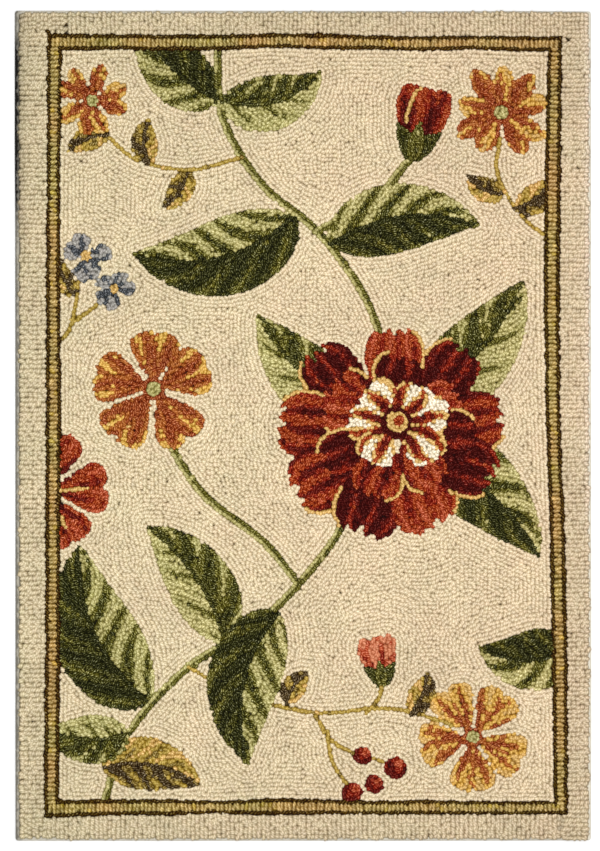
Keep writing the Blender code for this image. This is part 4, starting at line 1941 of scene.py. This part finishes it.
def settle_cloth(cloth):
    """Gives the cloth its strays and the slight waves of a hem folded by hand."""
    points = strayed(points_of(cloth.data).astype(float))
    random = np.random.default_rng(SEED + 2)
    wave = soft_noise(points[:, :2] / MM, WAVE_PATCH, random)
    upper = np.clip((points[:, 2] - WAVE_FOOT) / WAVE_RISE, 0.0, 1.0)
    points[:, 2] += WAVE_HEIGHT * wave * upper
    set_points(cloth.data, points)


# ---------------------------------------------------------------- the stage

FLOOR_SIZE = 9.0
FLOOR_DROP = 0.00005
FLOOR_ROUGHNESS = 0.9
FLOOR_TONES = (0.99, 1.0)
GRAIN_SCALE = 60.0
SENSOR_WIDTH = 36.0
# What the frame takes in, at the height of the pile, and the middle of it.
FRAME_LENGTH = 0.8303
FRAME_MIDDLE = (-0.00290, 0.0003)


def laid_floor(settings):
    deselect_all()
    bpy.ops.mesh.primitive_plane_add(size=FLOOR_SIZE, location=(0.0, 0.0, -FLOOR_DROP))
    floor = bpy.context.object
    floor.name = floor.data.name = "studio_floor"
    bpy.ops.object.transform_apply(location=True, rotation=True, scale=True)
    material, tree, shader, relief = matt_material("studio_paper", bump=0.1, depth=0.0005)
    shader.inputs["Roughness"].default_value = FLOOR_ROUGHNESS
    grain = noise(tree, own_place(tree), GRAIN_SCALE, detail=3.0)
    tree.links.new(grain, relief.inputs["Height"])
    tone = spread(tree, grain, *NOISE_RANGE, *FLOOR_TONES)
    tree.links.new(scaled(tree, settings.floor_colour, tone), shader.inputs["Base Color"])
    floor.data.materials.append(material)


def soft_light(name, power, size, location):
    """A large soft lamp that looks at the middle of the rug."""
    lamp = bpy.data.lights.new(name, "AREA")
    lamp.shape = "DISK"
    lamp.size = size
    lamp.energy = power
    holder = bpy.data.objects.new(name, lamp)
    holder.location = location
    holder.rotation_euler = (-Vector(location)).to_track_quat("-Z", "Y").to_euler()
    bpy.context.scene.collection.objects.link(holder)


def even_air(strength):
    world = bpy.data.worlds.new("even_air")
    world.use_nodes = True
    air = world.node_tree.nodes["Background"]
    air.inputs["Color"].default_value = (1.0, 1.0, 1.0, 1.0)
    air.inputs["Strength"].default_value = strength
    bpy.context.scene.world = world


def photo_camera(lens):
    """A camera straight above the rug, taking in the photo's frame."""
    data = bpy.data.cameras.new("photo_camera")
    data.lens = lens
    data.sensor_width = SENSOR_WIDTH
    camera = bpy.data.objects.new("photo_camera", data)
    distance = FRAME_LENGTH * lens / SENSOR_WIDTH
    camera.location = (*FRAME_MIDDLE, distance + bpy.context.scene.rug_sizes.pile_height)
    bpy.context.scene.collection.objects.link(camera)
    bpy.context.scene.camera = camera


# ---------------------------------------------------------------- operators


class RUG_OT_stage(bpy.types.Operator):
    """Lay the floor, light it and set the camera above the rug"""

    bl_idname = "rug.stage"
    bl_label = "Set the Stage"

    def execute(self, context):
        settings = context.scene.rug_stage
        laid_floor(settings)
        soft_light("key_light", settings.key_power, size=0.71, location=(0.063, -0.03, 1.15))
        soft_light("top_light", settings.top_power, size=1.6, location=(0.05, 0.0, 3.4))
        even_air(settings.air_strength)
        photo_camera(settings.camera_lens)
        context.scene.view_settings.view_transform = "Standard"
        return {"FINISHED"}


class RUG_OT_border(bpy.types.Operator):
    """Hook the plain band round the rug"""

    bl_idname = "rug.hook_border"
    bl_label = "Hook the Border"

    def execute(self, context):
        hook_motif("border", BORDER)
        return {"FINISHED"}


class RUG_OT_frame_lines(bpy.types.Operator):
    """Hook the two brown rows and the gold band between them"""

    bl_idname = "rug.hook_frame_lines"
    bl_label = "Hook the Frame Lines"

    def execute(self, context):
        hook_motif("frame_line", LINES)
        return {"FINISHED"}


class RUG_OT_ground(bpy.types.Operator):
    """Hook the cream ground of the field"""

    bl_idname = "rug.hook_ground"
    bl_label = "Hook the Ground"

    def execute(self, context):
        hook_motif("ground", GROUND)
        return {"FINISHED"}


class RUG_OT_stems(bpy.types.Operator):
    """Hook the stems"""

    bl_idname = "rug.hook_stems"
    bl_label = "Hook the Stems"

    def execute(self, context):
        hook_motif("stem", STEMS)
        return {"FINISHED"}


class RUG_OT_leaves(bpy.types.Operator):
    """Hook the leaves"""

    bl_idname = "rug.hook_leaves"
    bl_label = "Hook the Leaves"

    def execute(self, context):
        hook_motif("leaf", LEAVES)
        return {"FINISHED"}


class RUG_OT_bloom(bpy.types.Operator):
    """Hook the large red bloom"""

    bl_idname = "rug.hook_bloom"
    bl_label = "Hook the Large Bloom"

    def execute(self, context):
        hook_motif("bloom", BLOOM)
        return {"FINISHED"}


class RUG_OT_blossoms(bpy.types.Operator):
    """Hook the small blossoms, buds and berries"""

    bl_idname = "rug.hook_blossoms"
    bl_label = "Hook the Blossoms"

    def execute(self, context):
        hook_motif("blossom", BLOSSOMS)
        return {"FINISHED"}


class RUG_OT_cloth(bpy.types.Operator):
    """Fold the foundation cloth and lay it under its pile"""

    bl_idname = "rug.lay_cloth"
    bl_label = "Lay the Cloth"

    def execute(self, context):
        sizes = context.scene.rug_sizes
        cloth = modelled_cloth(sizes)
        settle_cloth(cloth)
        cloth.data.materials.append(canvas_material("hem_canvas", HEM_COLOUR))
        # The cloth under the pile takes the darker copy, as painted shade between the loops.
        cloth.data.materials.append(canvas_material("pile_canvas", PILE_CANVAS_IN_SHADE))
        below_hem = (sizes.cloth_height + sizes.hem_height) / 2
        for face in cloth.data.polygons:
            under_pile = face.normal.z > FACING and face.center.z < below_hem
            face.material_index = 1 if under_pile else 0
        dress(cloth)
        return {"FINISHED"}


class RUG_PT_panel(bpy.types.Panel):
    """The rug's steps in the order they are worked, with its sizes and yarns"""

    bl_idname = "RUG_PT_panel"
    bl_label = "Hooked Rug"
    bl_space_type = "VIEW_3D"
    bl_region_type = "UI"
    bl_category = "Hooked Rug"

    def draw(self, context):
        for operator in OPERATORS:
            self.layout.operator(operator.bl_idname)
        for group in (context.scene.rug_sizes, context.scene.rug_yarns, context.scene.rug_stage):
            box = self.layout.box()
            for name in type(group).__annotations__:
                box.prop(group, name)


OPERATORS = (
    RUG_OT_stage,
    RUG_OT_border,
    RUG_OT_frame_lines,
    RUG_OT_ground,
    RUG_OT_stems,
    RUG_OT_leaves,
    RUG_OT_bloom,
    RUG_OT_blossoms,
    RUG_OT_cloth,
)
SETTINGS = {"rug_sizes": RugSizes, "rug_yarns": RugYarns, "rug_stage": RugStage}


def register():
    for item in (*SETTINGS.values(), *OPERATORS, RUG_PT_panel):
        bpy.utils.register_class(item)
    for name, settings in SETTINGS.items():
        setattr(bpy.types.Scene, name, PointerProperty(type=settings))


def unregister():
    for name in SETTINGS:
        delattr(bpy.types.Scene, name)
    for item in reversed((*SETTINGS.values(), *OPERATORS, RUG_PT_panel)):
        bpy.utils.unregister_class(item)


def main():
    register()
    bpy.ops.rug.stage()
    bpy.ops.rug.hook_border()
    bpy.ops.rug.hook_frame_lines()
    bpy.ops.rug.hook_ground()
    bpy.ops.rug.hook_stems()
    bpy.ops.rug.hook_leaves()
    bpy.ops.rug.hook_bloom()
    bpy.ops.rug.hook_blossoms()
    bpy.ops.rug.lay_cloth()


if __name__ == "__main__":
    main()
